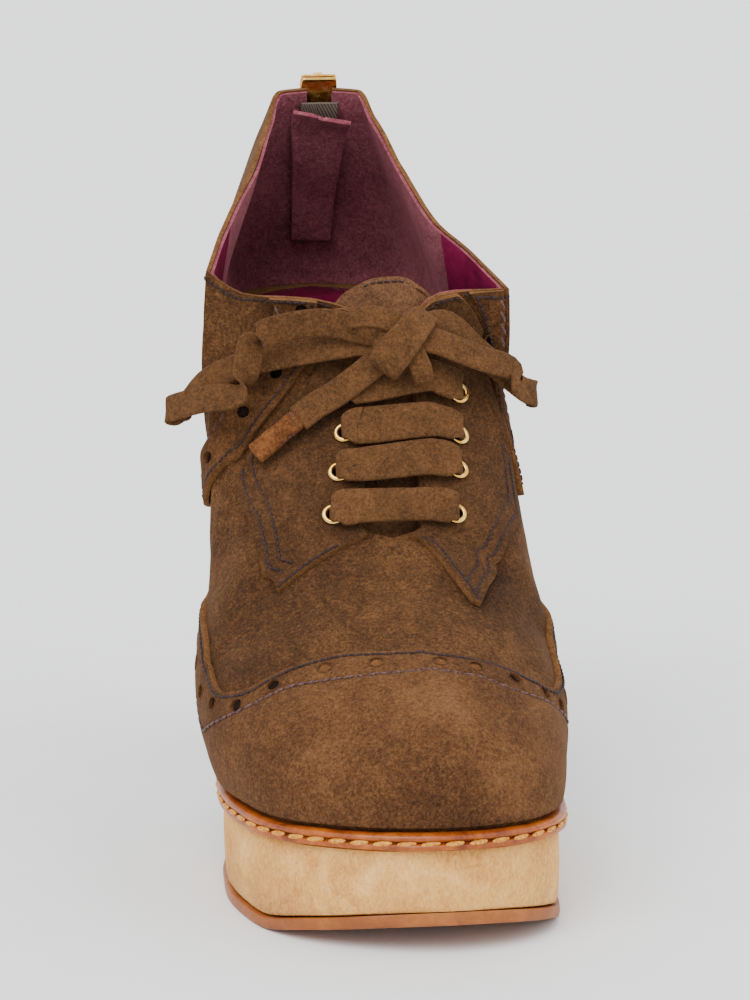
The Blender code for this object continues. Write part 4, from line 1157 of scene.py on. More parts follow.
# The pieces
def make_materials():
    """Every finish of the shoe, by a maker's plain name."""
    look = bpy.context.scene.lace_up_heel
    # Lighter spots: real scuffs on the toe cap and vamp, and painted highlights high on the quarters and
    # round the back
    scuffs_and_painted_highlights = [
        ((0.034, -0.150, 0.079), 0.020, 0.20), ((0.028, -0.139, 0.090), 0.014, 0.16),
        ((-0.026, -0.178, 0.052), 0.014, 0.16), ((0.024, -0.186, 0.047), 0.014, 0.15),
        ((0.008, -0.176, 0.066), 0.026, 0.12), ((-0.012, -0.147, 0.080), 0.020, 0.06),
        ((-0.038, -0.030, 0.150), 0.034, 0.24), ((-0.030, 0.014, 0.166), 0.022, 0.10),
        ((0.022, 0.024, 0.160), 0.020, 0.12),
        ((-0.030, -0.020, 0.160), 0.018, 0.12), ((0.033, -0.012, 0.160), 0.016, 0.10),
    ]
    # Darker spots of painted shade: at the foot of the throat under the lace, on the sides of the vamp, at
    # the toe and beside the back zip
    painted_shade_spots = [
        ((-0.010, -0.128, 0.094), 0.024, 0.16), ((0.014, -0.122, 0.098), 0.020, 0.14),
        ((-0.036, -0.120, 0.070), 0.030, 0.12), ((0.036, -0.118, 0.075), 0.026, 0.14),
        ((0.010, -0.192, 0.044), 0.020, 0.06), ((0.012, 0.028, 0.178), 0.012, 0.14),
        ((-0.018, 0.026, 0.150), 0.012, 0.12),
    ]
    return {
        "upper": suede("brushed brown suede", "27170d", "4f321b", "7d5632", look.nap,
                       scuffs_and_painted_highlights=scuffs_and_painted_highlights, painted_shade_spots=painted_shade_spots),
        "cap": suede("brushed brown suede, rubbed toe", "2d1b0e", "56361e", "7f5834",
                     look.nap, 34.0, 0.3, scuffs_and_painted_highlights, painted_shade_spots),
        "trim": suede("brown suede overlay", "29180d", "503219", "764e2e", look.nap, 60.0, 0.9),
        "raw": suede("cut suede edge", "3c2614", "6b4626", "8f6339", 0.8, 160.0, 0.4),
        "facing": suede("brown suede facing", "24150b", "482e19", "6e492a", look.nap, 48.0, 1.7),
        "tongue": suede("brown suede tongue", "372316", "65442d", "8a6140", look.nap, 60.0, 2.1),
        "heel": suede("suede heel cover", "2b1a0f", "523620", "7a5536", look.nap, 52.0, 2.9),
        "lace": suede("suede lace", "34200f", "583a20", "785130", 0.9, 110.0, 3.3),
        "lining": suede("mauve suede lining", "4a2129", "7b424b", "a5656d", 0.7, 30.0, 3.9),
        "lining_edge": suede("pink lining edge", "5c2630", "82404c", "a3656b", 0.5, 120.0, 0.2),
        "burgundy": leather("burgundy kid lining", "3d0420", "5e0a2e", "7a1740", 0.38, 0.7, 0.00008, 0.15),
        "sock": leather("burgundy sock leather", "4a0726", "690d33", "821a43", 0.33, 0.8, 0.00010, 0.2),
        "rim": suede("tan insole border", "5a3f26", "7d5a35", "9a754a", 0.8, 70.0, 0.6),
        "welt": leather("tan welt leather", "6c2b09", "9d4c10", "be6c1e", 0.36, 0.9, 0.00009, 0.18, 90.0),
        "outsole": leather("tan sole leather", "7c4118", "94521f", "aa672a", 0.5, 0.8, 0.00010, 0.06, 70.0),
        "crepe": crepe_rubber("natural crepe rubber"),
        "lift": leather("top lift rubber", "6d5043", "876556", "9c786a", 0.62, 0.5, 0.00008, 0.0, 120.0),
        "brass": brass("polished gold brass", "d69a33", 0.2),
        "pale_brass": brass("worn pale brass", "c9a457", 0.32),
        "tape": woven_tape("zip tape"),
        "dark_thread": thread("aubergine waxed thread", "191011", "3a2929"),
        "band_thread": thread("faded plum thread", "352322", "6b4e4c"),
        "light_thread": thread("tan waxed thread", "9a6b48", "d6a982"),
        "welt_thread": thread("amber welt thread", "a9641a", "e6a244", 0.5),
        "tip": suede("worn leather lace tip", "28140a", "643a1c", "8f5c33", 0.6, 120.0, 0.6),
        # Painted shade: the dark disc in each cut hole
        "painted_hole_shade": suede("painted shade in the hole", "0e0603", "1b0f07", "29180c", 0.8, 90.0, 0.7),
    }


MADE = {}


def finish_of(name):
    if not MADE:
        MADE.update(make_materials())
    return MADE[name]


def low_cap(side, along):
    return 0.03 if along > 0.6065 else 0.045


def cap_edge(side, along):
    return smooth(CAP_EDGE[side], 1, along)


def slot_cutter():
    """The zip opening down the back seam: a round-ended slot."""
    half = ZIP_WIDTH / 2
    bm = bmesh.new()
    bmesh.ops.create_circle(bm, cap_ends=True, segments=24, radius=half)
    for vert in bm.verts:
        rise = 0.09 if vert.co.y > 0.0001 else 0.0
        vert.co = Vector((vert.co.x, HEEL_CENTRE + 0.012, ZIP_BOTTOM + half + vert.co.y + rise))
    thicken(bm, (0, -0.060, 0))
    return bm


def eyelet_frame(row, side):
    foot, share = (row[0], row[1]) if side < 0 else (row[2], row[3])
    return skin(side, foot, share), skin_normal(side, foot, share)


def eyelet_cutter(sides, radius):
    bm = bmesh.new()
    for row in EYELETS:
        for side in sides:
            centre, up = eyelet_frame(row, side)
            peg(bm, standing(up, centre), radius, 0.012, 20)
    return bm


def make_upper():
    look = bpy.context.scene.lace_up_heel
    feet = stations(BACK, FRONT, 150, TOP_CORNERS)
    bm = surface_patch((-1, 1), lambda s, a: -0.012, lambda s, a: 1.0, feet, 75)
    face_out(bm)
    wear(bm, crease_trees(), look.crease)
    body = new_piece("upper_suede", bm, ["upper", "raw"], ["upper"])
    wall(body, 0.0012, -1, 1)
    cut(body, slot_cutter())
    cut(body, eyelet_cutter((-1, 1), EYELET_BORE + 0.0010))
    # Lining: mauve suede round the heel, burgundy kid ahead of it
    for name, low, high, count, finish in (
        ("lining_heel", BACK, LINING_SEAM, 34, "lining"),
        ("lining_front", LINING_SEAM, FRONT, 70, "burgundy"),
    ):
        rows = stations(low, high, count, TOP_CORNERS)
        bm = surface_patch((-1, 1), lambda s, a: -0.032, lambda s, a: 0.993, rows, 46)
        face_out(bm)
        lift_bm(bm, -0.00128)
        lining = new_piece(name, bm, [finish, "lining_edge"])
        wall(lining, 0.0009, -1, 1)
        cut(lining, slot_cutter() if low == BACK else eyelet_cutter((-1, 1), EYELET_BORE + 0.0009))


def overlay(name, bm, finish, node_name, holes):
    """A panel laid on the upper, with its holes cut through it and its edges rubbed soft."""
    lift_bm(bm, OVERLAY_LIFT)
    piece = new_piece(name, bm, [finish, "raw"], [node_name])
    wall(piece, REST + OVERLAY - OVERLAY_LIFT, 1, 1)
    cut(piece, holes)
    soften(piece, 0.00025)


def make_toe_cap():
    look = bpy.context.scene.lace_up_heel
    feet = stations(CAP_EDGE[1][0][0], FRONT, 150, (0.876,))
    bm = surface_patch((-1, 1), low_cap, cap_edge, feet, 60)
    face_out(bm)
    wear(bm, crease_trees(), look.crease)
    seams = [seam_line(side, CAP_SEAM[side], 0.0)[0] for side in (-1, 1)]
    press(bm, near_tree(seams), 0.00045, 0.0011)
    press(bm, near_tree([edge_line(side)[0] for side in (-1, 1)]), 0.00020, 0.0007)
    overlay("toe_cap_suede", bm, "cap", "toe_cap", punches(CAP_HOLES))


def edge_line(side, lift=0.0):
    """A line on the toe cap that runs EDGE_ROW inside its upper edge."""
    step = 0.002
    rows = []
    for along in stations(CAP_EDGE[side][0][0] + step, 0.8760, 44):
        share = min(cap_edge(side, along), 0.999)
        here = skin(side, along, share)
        by_foot = (skin(side, along + step, share) - here) / step
        by_share = (here - skin(side, along, share - step)) / step
        ahead = skin(side, along + step, min(cap_edge(side, along + step), 1.0)) - here
        goal = skin_normal(side, along, share).cross(ahead).normalized() * EDGE_ROW
        if goal.dot(by_foot) - goal.dot(by_share) < 0:
            goal = -goal
        ff, fs, ss = by_foot.dot(by_foot), by_foot.dot(by_share), by_share.dot(by_share)
        gf, gs = goal.dot(by_foot), goal.dot(by_share)
        under = ff * ss - fs * fs
        rows.append((along + (gf * ss - gs * fs) / under, min(share + (gs * ff - gf * fs) / under, 1.0)))
    rows.append((rows[-1][0] + 0.0006, 1.0))
    return seam_line(side, rows, lift)


def make_facings():
    look = bpy.context.scene.lace_up_heel
    for side, label in SIDES:
        rows = FACING[side]
        feet = stations(rows[0][0], rows[-1][0], 60, FACING_CORNERS[side])
        bm = surface_patch((side,), lambda s, a: smooth(rows, 1, a), lambda s, a: smooth(rows, 2, a),
                           feet, 26)
        face_out(bm)
        wear(bm, [], look.crease)
        overlay("facing_%s_suede" % label, bm, "facing", "facing_" + label,
                eyelet_cutter((side,), EYELET_BORE + 0.0010))


def band_point(side, share, mix):
    rear, front = smooth(BAND[side], 1, share), smooth(BAND[side], 2, share)
    return rear + (front - rear) * mix


def make_bands():
    look = bpy.context.scene.lace_up_heel
    for side, label in SIDES:
        low, high = BAND[side][0][0], BAND[side][-1][0]

        def place_of(u, v, side=side):
            share = low + (high - low) * v
            return skin(side, band_point(side, share, u), share)
        bm = woven_shape(14, 90, place_of)
        face_out(bm)
        wear(bm, [], look.crease)
        holes = [h for h in BAND_HOLES if h[0] == side]
        overlay("band_%s_suede" % label, bm, "trim", "band_" + label, punches(holes))


def make_hole_rings():
    """The pressed ring round each punched hole, and what shows in it: a dark disc of painted shade, or suede
    where the hole is only stamped.
    """
    rings = bmesh.new()
    painted_shade_discs = bmesh.new()
    linings = bmesh.new()
    reach = HOLE_RADIUS + 0.0003
    for side, foot, share in BAND_HOLES + CAP_HOLES:
        up = skin_normal(side, foot, share)
        turn = standing(up, off_skin(side, foot, share, REST + OVERLAY + 0.00003))
        back = turn.inverted()
        on_cap = (side, foot, share) in CAP_HOLES
        band = "band_lateral_suede" if side < 0 else "band_medial_suede"
        target = bpy.data.objects["toe_cap_suede" if on_cap else band]
        ring = bmesh.new()
        turned_ring(ring, 0.00028, 0.00020, reach, 18, turn)
        for vert in ring.verts:
            local = back @ vert.co
            rim = turn @ (Vector((local.x, local.y, 0)).normalized() * (reach + 0.0003))
            near = target.closest_point_on_mesh(rim)[1]
            local.z += min(max((back @ near).z, -0.0012), 0.0012)
            vert.co = turn @ local
        join_bm(rings, ring)
        turn.translation = off_skin(side, foot, share, REST + 0.00015)
        # The middle holes of the cap are stamped and not cut through, so they show suede and no painted shade
        if on_cap and share > 0.62 and foot > 0.70:
            peg(linings, turn, HOLE_RADIUS, 0.0012, 12)
        else:
            # A dark disc of painted shade at the bottom of the cut hole
            peg(painted_shade_discs, turn, HOLE_RADIUS, 0.0003, 12)
    new_piece("hole_rings", rings, ["trim"])
    new_piece("hole_floors", painted_shade_discs, ["painted_hole_shade"])
    new_piece("hole_linings", linings, ["raw"])


def throat_section(along, depth):
    """Points under the instep from the lateral to the medial side, at a depth below the form."""
    line = []
    for side in (-1, 1):
        shares = [0.45 + 0.55 * i / 8 for i in range(9)]
        points = [off_skin(side, along, share, -depth) for share in shares]
        if side > 0:
            points.reverse()
        line += points
    return line


def sample(line, distances):
    """Points at distances along a line, measured from its middle."""
    runs = run_of(line)
    middle = runs[len(line) // 2 - 1] * 0.5 + runs[len(line) // 2] * 0.5
    points = []
    for distance in distances:
        i, share = spot_on(runs, middle + distance)
        points.append(line[i].lerp(line[i + 1], share))
    return points


def tongue_rows():
    widths = [-0.019, -0.0145, -0.010, -0.0055, -0.002, 0.002, 0.0055, 0.010, 0.0145, 0.019]
    rows = []
    for i in range(11):
        along = 0.7367 + (0.5436 - 0.7367) * i / 10
        rows.append(sample(throat_section(along, WALL + 0.0006), widths))
    ahead = [(b - a) for a, b in zip(rows[-3], rows[-1])]
    run = sum(step.length for step in ahead) / len(ahead)
    direction = sum(ahead, Vector()) / len(ahead) / run
    last = rows[10]
    middle = (last[4] + last[5]) / 2
    for reach, pinch in ((0.004, 0.995), (0.0075, 0.95), (0.0105, 0.86), (0.0130, 0.72), (0.0146, 0.50)):
        rows.append([middle + (p - middle) * pinch + direction * reach for p in last])
    return rows, direction


def make_tongue():
    rows, direction = tongue_rows()
    fine = [rounded(row, 4) for row in rows]
    columns = [rounded([row[j] for row in fine], 4) for j in range(len(fine[0]))]

    def place_of(u, v):
        column = columns[int(round(u * (len(columns) - 1)))]
        return column[int(round(v * (len(column) - 1)))]
    bm = woven_shape(len(columns) - 1, len(columns[0]) - 1, place_of)
    face_out(bm)
    wear(bm, [], 1.0)
    piece = new_piece("tongue_suede", bm, ["tongue", "raw"], ["tongue"])
    wall(piece, TONGUE_THICKNESS * 0.95, -1, 1)
    soften(piece, 0.0004)
    up = Vector((0, -0.35, 0.94))
    top = [column[-1] - direction * 0.0016 + up * 0.0002 for column in columns[3:-3]]
    rows_bm = bmesh.new()
    stitch_row(rows_bm, even(top, [up] * len(top), SEAM_STEP), 0.0020, 0.0018, 0.00034)
    new_piece("tongue_stitches", rows_bm, ["dark_thread"])


def across_ridge(lines):
    """One line from the lateral side over the ridge to the medial side."""
    (left, left_ups), (right, right_ups) = lines
    return even(left + right[::-1], left_ups + right_ups[::-1], SEAM_STEP)


def make_seams():
    """Stitch rows of the upper: fine rows by the edges, the heavy cap seam, the whipped band edge."""
    pitch = bpy.context.scene.lace_up_heel.stitch_pitch
    on_overlay = REST + OVERLAY + OVERLAY_LIFT
    dark = bmesh.new()
    heavy = bmesh.new()

    def fine_row(line):
        stitch_row(dark, line, pitch, pitch * 0.96, FINE_THREAD)

    fine_row(across_ridge([edge_line(side, on_overlay) for side in (-1, 1)]))
    cap_rows = [seam_line(side, CAP_SEAM[side], on_overlay - 0.0002) for side in (-1, 1)]
    stitch_row(heavy, across_ridge(cap_rows), 0.0031, 0.0030, 0.00042, 0.10)
    for side in (-1, 1):
        rows = FACING[side]
        outer = [(a, smooth(rows, 1, a) + 0.030) for a in stations(FACING_CORNERS[side][1], rows[-1][0], 22)]
        second = [(a, s + 0.040) for a, s in outer]
        inner = [(a, smooth(rows, 2, a) - 0.030) for a in stations(RIDGE_START + 0.002, rows[-1][0], 12)]
        for row in (outer[:-1], second[:-2], inner):
            fine_row(seam_line(side, row, on_overlay))
        # Top line of quarter and facing, over the band's top
        low, high = BAND[side][0][0], BAND[side][-1][0]
        rear, front = BAND[side][-1][1:]
        start = FACING[side][0][0]
        for first, last, lift in ((0.345, rear, 0.0001), (rear, front, on_overlay),
                                  (front, start, 0.0001), (start, 0.555, on_overlay)):
            if last > first:
                fine_row(seam_line(side, [(a, 0.968) for a in stations(first, last, 12)], lift))
        shares = [low + (high - low) * i / 40 for i in range(41)]
        fine_row(seam_line(side, [(band_point(side, s, 0.86), s) for s in shares], on_overlay))
        whipped = seam_line(side, [(band_point(side, s, 0.06), s) for s in shares], on_overlay - 0.0002)
        stitch_row(heavy, whipped, 0.0036, 0.0036, 0.00046, 0.32)
    new_piece("upper_stitches", dark, ["dark_thread"])
    new_piece("heavy_stitches", heavy, ["band_thread"])


def make_eyelets():
    bm = bmesh.new()
    flange = REST + OVERLAY + EYELET_LIFT
    names = []
    for number, row in enumerate(EYELETS, 1):
        for side, label in SIDES:
            names.append("eyelet_%s_%d" % (label, number))
            centre, up = eyelet_frame(row, side)
            turn = standing(up, centre + up * (flange + 0.0001))
            middle = (EYELET_RADIUS + EYELET_BORE) / 2
            turned_ring(bm, (EYELET_RADIUS - EYELET_BORE) / 2 - 0.0001, 0.0005, middle, 32, turn)
            turn.translation = centre + up * (flange - WALL) / 2
            turned_ring(bm, 0.00025, (flange + WALL) / 2 - 0.0001, EYELET_BORE + 0.0003, 24, turn)
    new_piece("eyelets_brass", bm, ["brass"], names)


def throat_direction():
    low, _ = top_point(1, THROAT[1][-1][0])
    high, _ = top_point(1, THROAT[1][0][0])
    rise = high - low
    return Vector((0, -rise.y, rise.z)).normalized()


def make_bars():
    """Each bar rises out of its eyelets, folds over the rings and crosses the tongue."""
    look = bpy.context.scene.lace_up_heel
    distance = REST + OVERLAY + EYELET_LIFT + FLANGE_THICKNESS + GAP + LACE_THICKNESS / 2 + 0.0003
    wide = throat_direction()
    for number, row in enumerate(EYELETS, 1):
        marks, sizes = [], []
        for side in (-1, 1):
            foot, share = (row[0], row[1]) if side < 0 else (row[2], row[3])
            centre, up = eyelet_frame(row, side)
            reach = 1.0 - share
            part = [(centre - up * 0.0030, 0.28), (centre + up * 0.0002, 0.28), (centre + up * 0.0019, 0.40)]
            for inward, lift, size in ((0.06, 0.0001, 0.70), (0.22, 0.0004, 0.93),
                                       (0.55, 0.0003, 1.0), (0.95, 0.0002, 1.0)):
                part.append((off_skin(side, foot, share + reach * inward, distance + lift), size))
            if side > 0:
                part.reverse()
            marks += [p for p, _ in part]
            sizes += [s for _, s in part]
        points = rounded(marks, 5)
        shares = rounded([Vector((s, 0, 0)) for s in sizes], 5)
        sag = [0.94 + 0.06 * math.cos(number * 2.1 + i * 0.21) for i in range(len(points))]
        widths = [look.lace_width * min(s.x, 1.0) * k for s, k in zip(shares, sag)]
        tilt = (wide + Vector((0.05 * math.sin(number * 1.7), 0, 0))).normalized()
        bm = strap(points, tilt, widths, LACE_THICKNESS)
        roughen(bm, 260, 0.00016)
        new_piece("lace_%d" % number, bm, ["lace"], ["lace_bar_%d" % number], smooth=60)


def knot_frame():
    left, up_left = skin(-1, 0.5615, 1.0), skin_normal(-1, 0.5615, 1.0)
    right, up_right = skin(1, 0.5615, 1.0), skin_normal(1, 0.5615, 1.0)
    up = (up_left + up_right).normalized()
    return (left + right) / 2 + up * 0.0092, up


def lace_path(name):
    return [off_skin(side, foot, share, distance * LACE_WIDTH)
            for side, foot, share, distance in LACE_PATHS[name]]


def lace_run(points, twists, widths):
    """Fine points, width directions and widths from a few marks."""
    fine = rounded(points, 6)
    count = len(fine)
    wides = [between(twists, i / (count - 1)).normalized() for i in range(count)]
    sizes = [between(widths, i / (count - 1)) for i in range(count)]
    return fine, wides, sizes


def make_bow():
    """Two loops, the knot and the end with its leather tip, tied in one flat suede lace."""
    look = bpy.context.scene.lace_up_heel
    centre, up = knot_frame()
    wide = throat_direction()
    right = Vector((1, 0, 0))
    width = look.lace_width * 0.72

    def at(x, w, n):
        return centre + right * x * 0.001 + wide * w * 0.001 + up * n * 0.001

    # Medial loop, through the knot and out as the free end
    medial = [at(1.0, 1.5, 0.4)] + lace_path("lace_loop_medial")
    end = lace_path("lace_end")
    marks = medial + [at(1.5, 0.5, -1.0)] + end
    twists = [wide] * len(medial) + [(wide + Vector((-0.2, 0, 0))).normalized()]
    twists += [(wide + Vector((-0.5, 0, 0))).normalized()] * len(end)
    points, wides, sizes = lace_run(marks, twists, [width] * 2)
    loop = new_piece("lace_medial_half", strap(points, wides, sizes, LACE_THICKNESS), ["lace"],
                     ["lace_loop_medial", "lace_end"], smooth=60)
    tip = make_tip()
    knot = make_knot(at, up, wide, right, width)
    tuple(points[0])
    run_of(points)[-1]
    [tuple(p) for p in points]
    # Lateral loop
    marks = [at(-0.5, 1.5, 1.2)] + lace_path("lace_loop_lateral") + [at(-1.0, 0.5, 0.4)]
    over = (wide * 0.8 + up * 0.6).normalized()
    drop = (wide * 0.35 + right * 0.9).normalized()
    twists = [over] * 4 + [drop] * 2 + [wide] * 10
    points, wides, sizes = lace_run(marks, twists, [width] * 2)
    loop = new_piece("lace_lateral_loop", strap(points, wides, sizes, LACE_THICKNESS), ["lace"],
                     ["lace_loop_lateral"], smooth=60)
    tuple(points[0])
    run_of(points)[-1]
    [tuple(p) for p in points]


def make_tip():
    """Leather rolled round the end of the lace and flattened."""
    marks = lace_path("lace_tip")
    wide = (throat_direction() + Vector((-0.5, 0, 0))).normalized()
    run = marks[-1] - marks[0]
    points = [marks[0] + run * (i / 14 * 1.06 - 0.04) for i in range(15)]
    widths = [0.0056 + 0.0007 * math.sin(i * 0.9) * 0.3 + 0.0006 * (i / 14) for i in range(15)]
    thicks = [0.0034 - 0.0004 * (i / 14) for i in range(15)]
    bm = strap(points, wide, widths, thicks, flat=0.7)
    roughen(bm, 300, 0.00022)
    tip = new_piece("lace_tip_leather", bm, ["tip"], ["lace_tip"], smooth=60)
    rows_bm = bmesh.new()
    ahead = run.normalized()
    up = wide.cross(ahead).normalized()
    if up.z < 0:
        up = -up
    line = [points[1] + wide * w * 0.001 + up * 0.0018 for w in (-2.4, -1.2, 0.0, 1.2, 2.4)]
    stitch_row(rows_bm, even(line, [up] * 5, 0.0005), 0.0012, 0.0010, 0.00020)
    side_line = [p - wide * 0.0027 + up * 0.0008 for p in points[2:9]]
    stitch_row(rows_bm, even(side_line, [up - wide] * 7, 0.0005), 0.0016, 0.0013, 0.00022)
    new_piece("lace_tip_stitches", rows_bm, ["band_thread"])
    return tip


def make_knot(at, up, wide, right, width):
    """The tied middle: a soft core, the strand wrapped over it, and the folded turns beside it."""
    total = bmesh.new()
    core = bmesh.new()
    bmesh.ops.create_icosphere(core, subdivisions=4, radius=1.0)
    turn = up.to_track_quat("Z", "X").to_matrix()
    centre = at(0, 0, -0.6)
    for vert in core.verts:
        swell = 1 + 0.10 * noise.noise(vert.co * 2.2)
        vert.co = centre + turn @ Vector((vert.co.x * 0.0062, vert.co.y * 0.0070, vert.co.z * 0.0036)) * swell
    join_bm(total, core)
    down_left = (right * -0.62 - wide * 0.78).normalized()
    across = up.cross(down_left).normalized()
    # Turns: direction of the width, places in millimetres from the knot's middle, widths
    for way, marks, widths in (
        (across, [(8.5, 8.0, -2.0), (7.6, 7.4, 1.6), (5.2, 4.6, 3.8), (1.5, 0.2, 4.7), (-2.6, -4.6, 3.8),
                  (-4.8, -7.6, 1.4), (-4.4, -7.4, -1.8)],
         [0.0066, 0.0070, 0.0082, 0.0092, 0.0100, 0.0094, 0.0080]),
        (wide, [(3.0, 3.0, 1.2), (-2.5, 5.4, 3.0), (-8.5, 6.8, 3.0), (-13.0, 5.6, 1.6), (-9.0, 4.4, 0.0),
                (-3.0, 2.0, 0.0)],
         [0.0068, 0.0066, 0.0062, 0.0052, 0.0056, 0.0060]),
        (right, [(1.0, 0.0, 1.0), (3.2, -3.6, 1.6), (5.2, -8.2, 0.6), (6.2, -11.0, -1.6)],
         [0.0060, 0.0064, 0.0060, 0.0050]),
        (wide, [(9.0, 2.0, -0.4), (5.0, 2.6, 1.0), (0.0, 1.0, 1.0)], [width, width, width * 0.9]),
    ):
        points, wides, sizes = lace_run([at(*m) for m in marks], [way] * 2, widths)
        join_bm(total, strap(points, wides, sizes, LACE_THICKNESS))
    return new_piece("lace_knot_turns", total, ["lace"], ["lace_knot"], smooth=60)


def back_line(z_low, z_high, distance, count):
    """Points up the back seam at a distance outside the upper."""
    fine = [(skin(-1, BACK, i / 200), skin_normal(1, BACK, i / 200)) for i in range(201)]
    points, ups = [], []
    for k in range(count + 1):
        z = z_low + (z_high - z_low) * k / count
        j = min(range(200), key=lambda i: abs(fine[i][0].z - z))
        a, b = (fine[j][0], fine[min(j + 1, 200)][0]) if fine[j][0].z <= z else (fine[j - 1][0], fine[j][0])
        share = (z - a.z) / max(b.z - a.z, 1e-9)
        up = Vector((0, fine[j][1].y, fine[j][1].z)).normalized()
        if up.y < 0:
            up = -up
        points.append(a.lerp(b, share) + up * distance)
        ups.append(up)
    return points, ups


def make_zip():
    """Tapes, interlocked teeth and the guard flap behind them."""
    def tape_place(u, v):
        z = ZIP_BOTTOM + 0.0002 + (TAPE_TOP - ZIP_BOTTOM) * v
        point, up = back_point((u * 2 - 1) * 0.0056, z, 0.0)
        return point - up * (WALL + GAP + 0.0008)
    bm = woven_shape(8, 26, tape_place)
    face_out(bm)
    tapes = new_piece("zip_tapes", bm, ["tape"], ["zip_tape"])
    wall(tapes, 0.0008, 1)
    flap_low = ZIP_BOTTOM + 0.0015

    def flap_place(u, v):
        x = (u * 2 - 1) * (0.0064 + 0.0032 * v ** 1.5)
        point, up = back_point(x, flap_low + (TAPE_TOP - flap_low) * v, 0.0)
        curl = max((v - 0.80) / 0.20, 0.0)
        inward = (WALL + GAP * 3 + 0.0020 + 0.0004 * math.sin(v * 11 + u * 2)
                  + 0.0046 * curl ** 1.6 * (0.7 + 0.5 * u))
        return point - up * inward - Vector((0, 0, 0.0022 * curl * u))
    bm = woven_shape(10, 30, flap_place)
    face_out(bm)
    guard = new_piece("zip_guard_flap", bm, ["lining", "lining_edge"], ["zip_guard"])
    wall(guard, 0.0012, 1, 1)
    soften(guard, 0.0003)
    points, ups = back_line(ZIP_BOTTOM + 0.0030, 0.1865, -WALL * 0.55, 400)
    points, ups = even(points, ups, TOOTH_PITCH / 2)
    bm = bmesh.new()
    for k in range(1, len(points) - 1):
        side = -1 if k % 2 else 1
        rise = (points[k + 1] - points[k - 1]).normalized()
        turn = framed(Vector((1, 0, 0)) * 0.0026, ups[k] * 0.0013, rise * 0.00078,
                      points[k] + Vector((side * 0.00095, 0, 0)))
        bmesh.ops.create_cube(bm, size=1.0, matrix=turn)
    bmesh.ops.bevel(bm, geom=bm.edges[:], offset=0.00018, affect="EDGES", segments=1, profile=0.5,
                    material=-1)
    new_piece("zip_teeth_brass", bm, ["brass"], ["zip_teeth"], smooth=30)
    # The small suede bar that stops the zip, and the two rows that hold the tapes
    points, ups = back_line(ZIP_BOTTOM + 0.0018, ZIP_BOTTOM + 0.0052, -0.0006, 8)
    bar = [points[4] + Vector((x * 0.001, 0, 0)) for x in (-3.6, -2.4, -1.2, 0, 1.2, 2.4, 3.6)]
    new_piece("zip_stop_bar", strap(bar, (points[-1] - points[0]).normalized(), 0.0024, 0.0014), ["trim"])
    rows_bm = bmesh.new()
    for reach in (0.0058, 0.0084):
        stitch_row(rows_bm, slot_outline(reach), 0.0026, 0.0022, 0.00030)
    new_piece("zip_stitches", rows_bm, ["light_thread"])
    # The back seam below the zip
    seam = bmesh.new()
    line = back_line(sole_z(BACK) + 0.0062, ZIP_BOTTOM - 0.0105, 0.0, 30)
    stitch_row(seam, line, 0.0016, 0.0017, 0.00016, 0.0, 0.00004)
    new_piece("back_seam", seam, ["dark_thread"])


def back_point(x, z, lift):
    """A point on the back of the upper at a distance from the seam."""
    side = -1 if x < 0 else 1
    low, high = 0.0, 1.0
    foot = BACK
    for _ in range(14):
        foot_low, foot_high = BACK, 0.10
        share = (low + high) / 2
        for _ in range(14):
            foot = (foot_low + foot_high) / 2
            if abs(skin(side, foot, share).x) < abs(x):
                foot_low = foot
            else:
                foot_high = foot
        if skin(side, foot, share).z < z:
            low = share
        else:
            high = share
    return off_skin(side, foot, share, lift), skin_normal(side, foot, share)


def slot_outline(reach):
    """A line round the zip opening, reach metres from its middle."""
    bottom = ZIP_BOTTOM - reach + 0.0030
    marks = [(-reach * 0.92, 0.1935)] + [(-reach, z) for z in (0.186, 0.176, 0.165, 0.156, bottom + 0.0035)]
    marks += [(-reach * 0.72, bottom + 0.0007), (-reach * 0.3, bottom), (0.0001, bottom)]
    marks += [(-x, z) for x, z in reversed(marks[:-1])]
    points, ups = [], []
    for x, z in marks:
        point, up = back_point(x, z, 0.00006)
        points.append(point)
        ups.append(up)
    fine = rounded(points, 8)
    count = len(fine)
    return even(fine, [between(ups, i / (count - 1)).normalized() for i in range(count)], SEAM_STEP)


def slider_frame():
    low, _ = back_line(0.1875, 0.1955, 0.0, 1)
    rise = (low[1] - low[0]).normalized()
    out = Vector((1, 0, 0)).cross(rise).normalized()
    if out.y < 0:
        out = -out
    centre = low[0] + rise * 0.0065 + out * 0.0010
    return centre, rise, out, centre + out * 0.0030


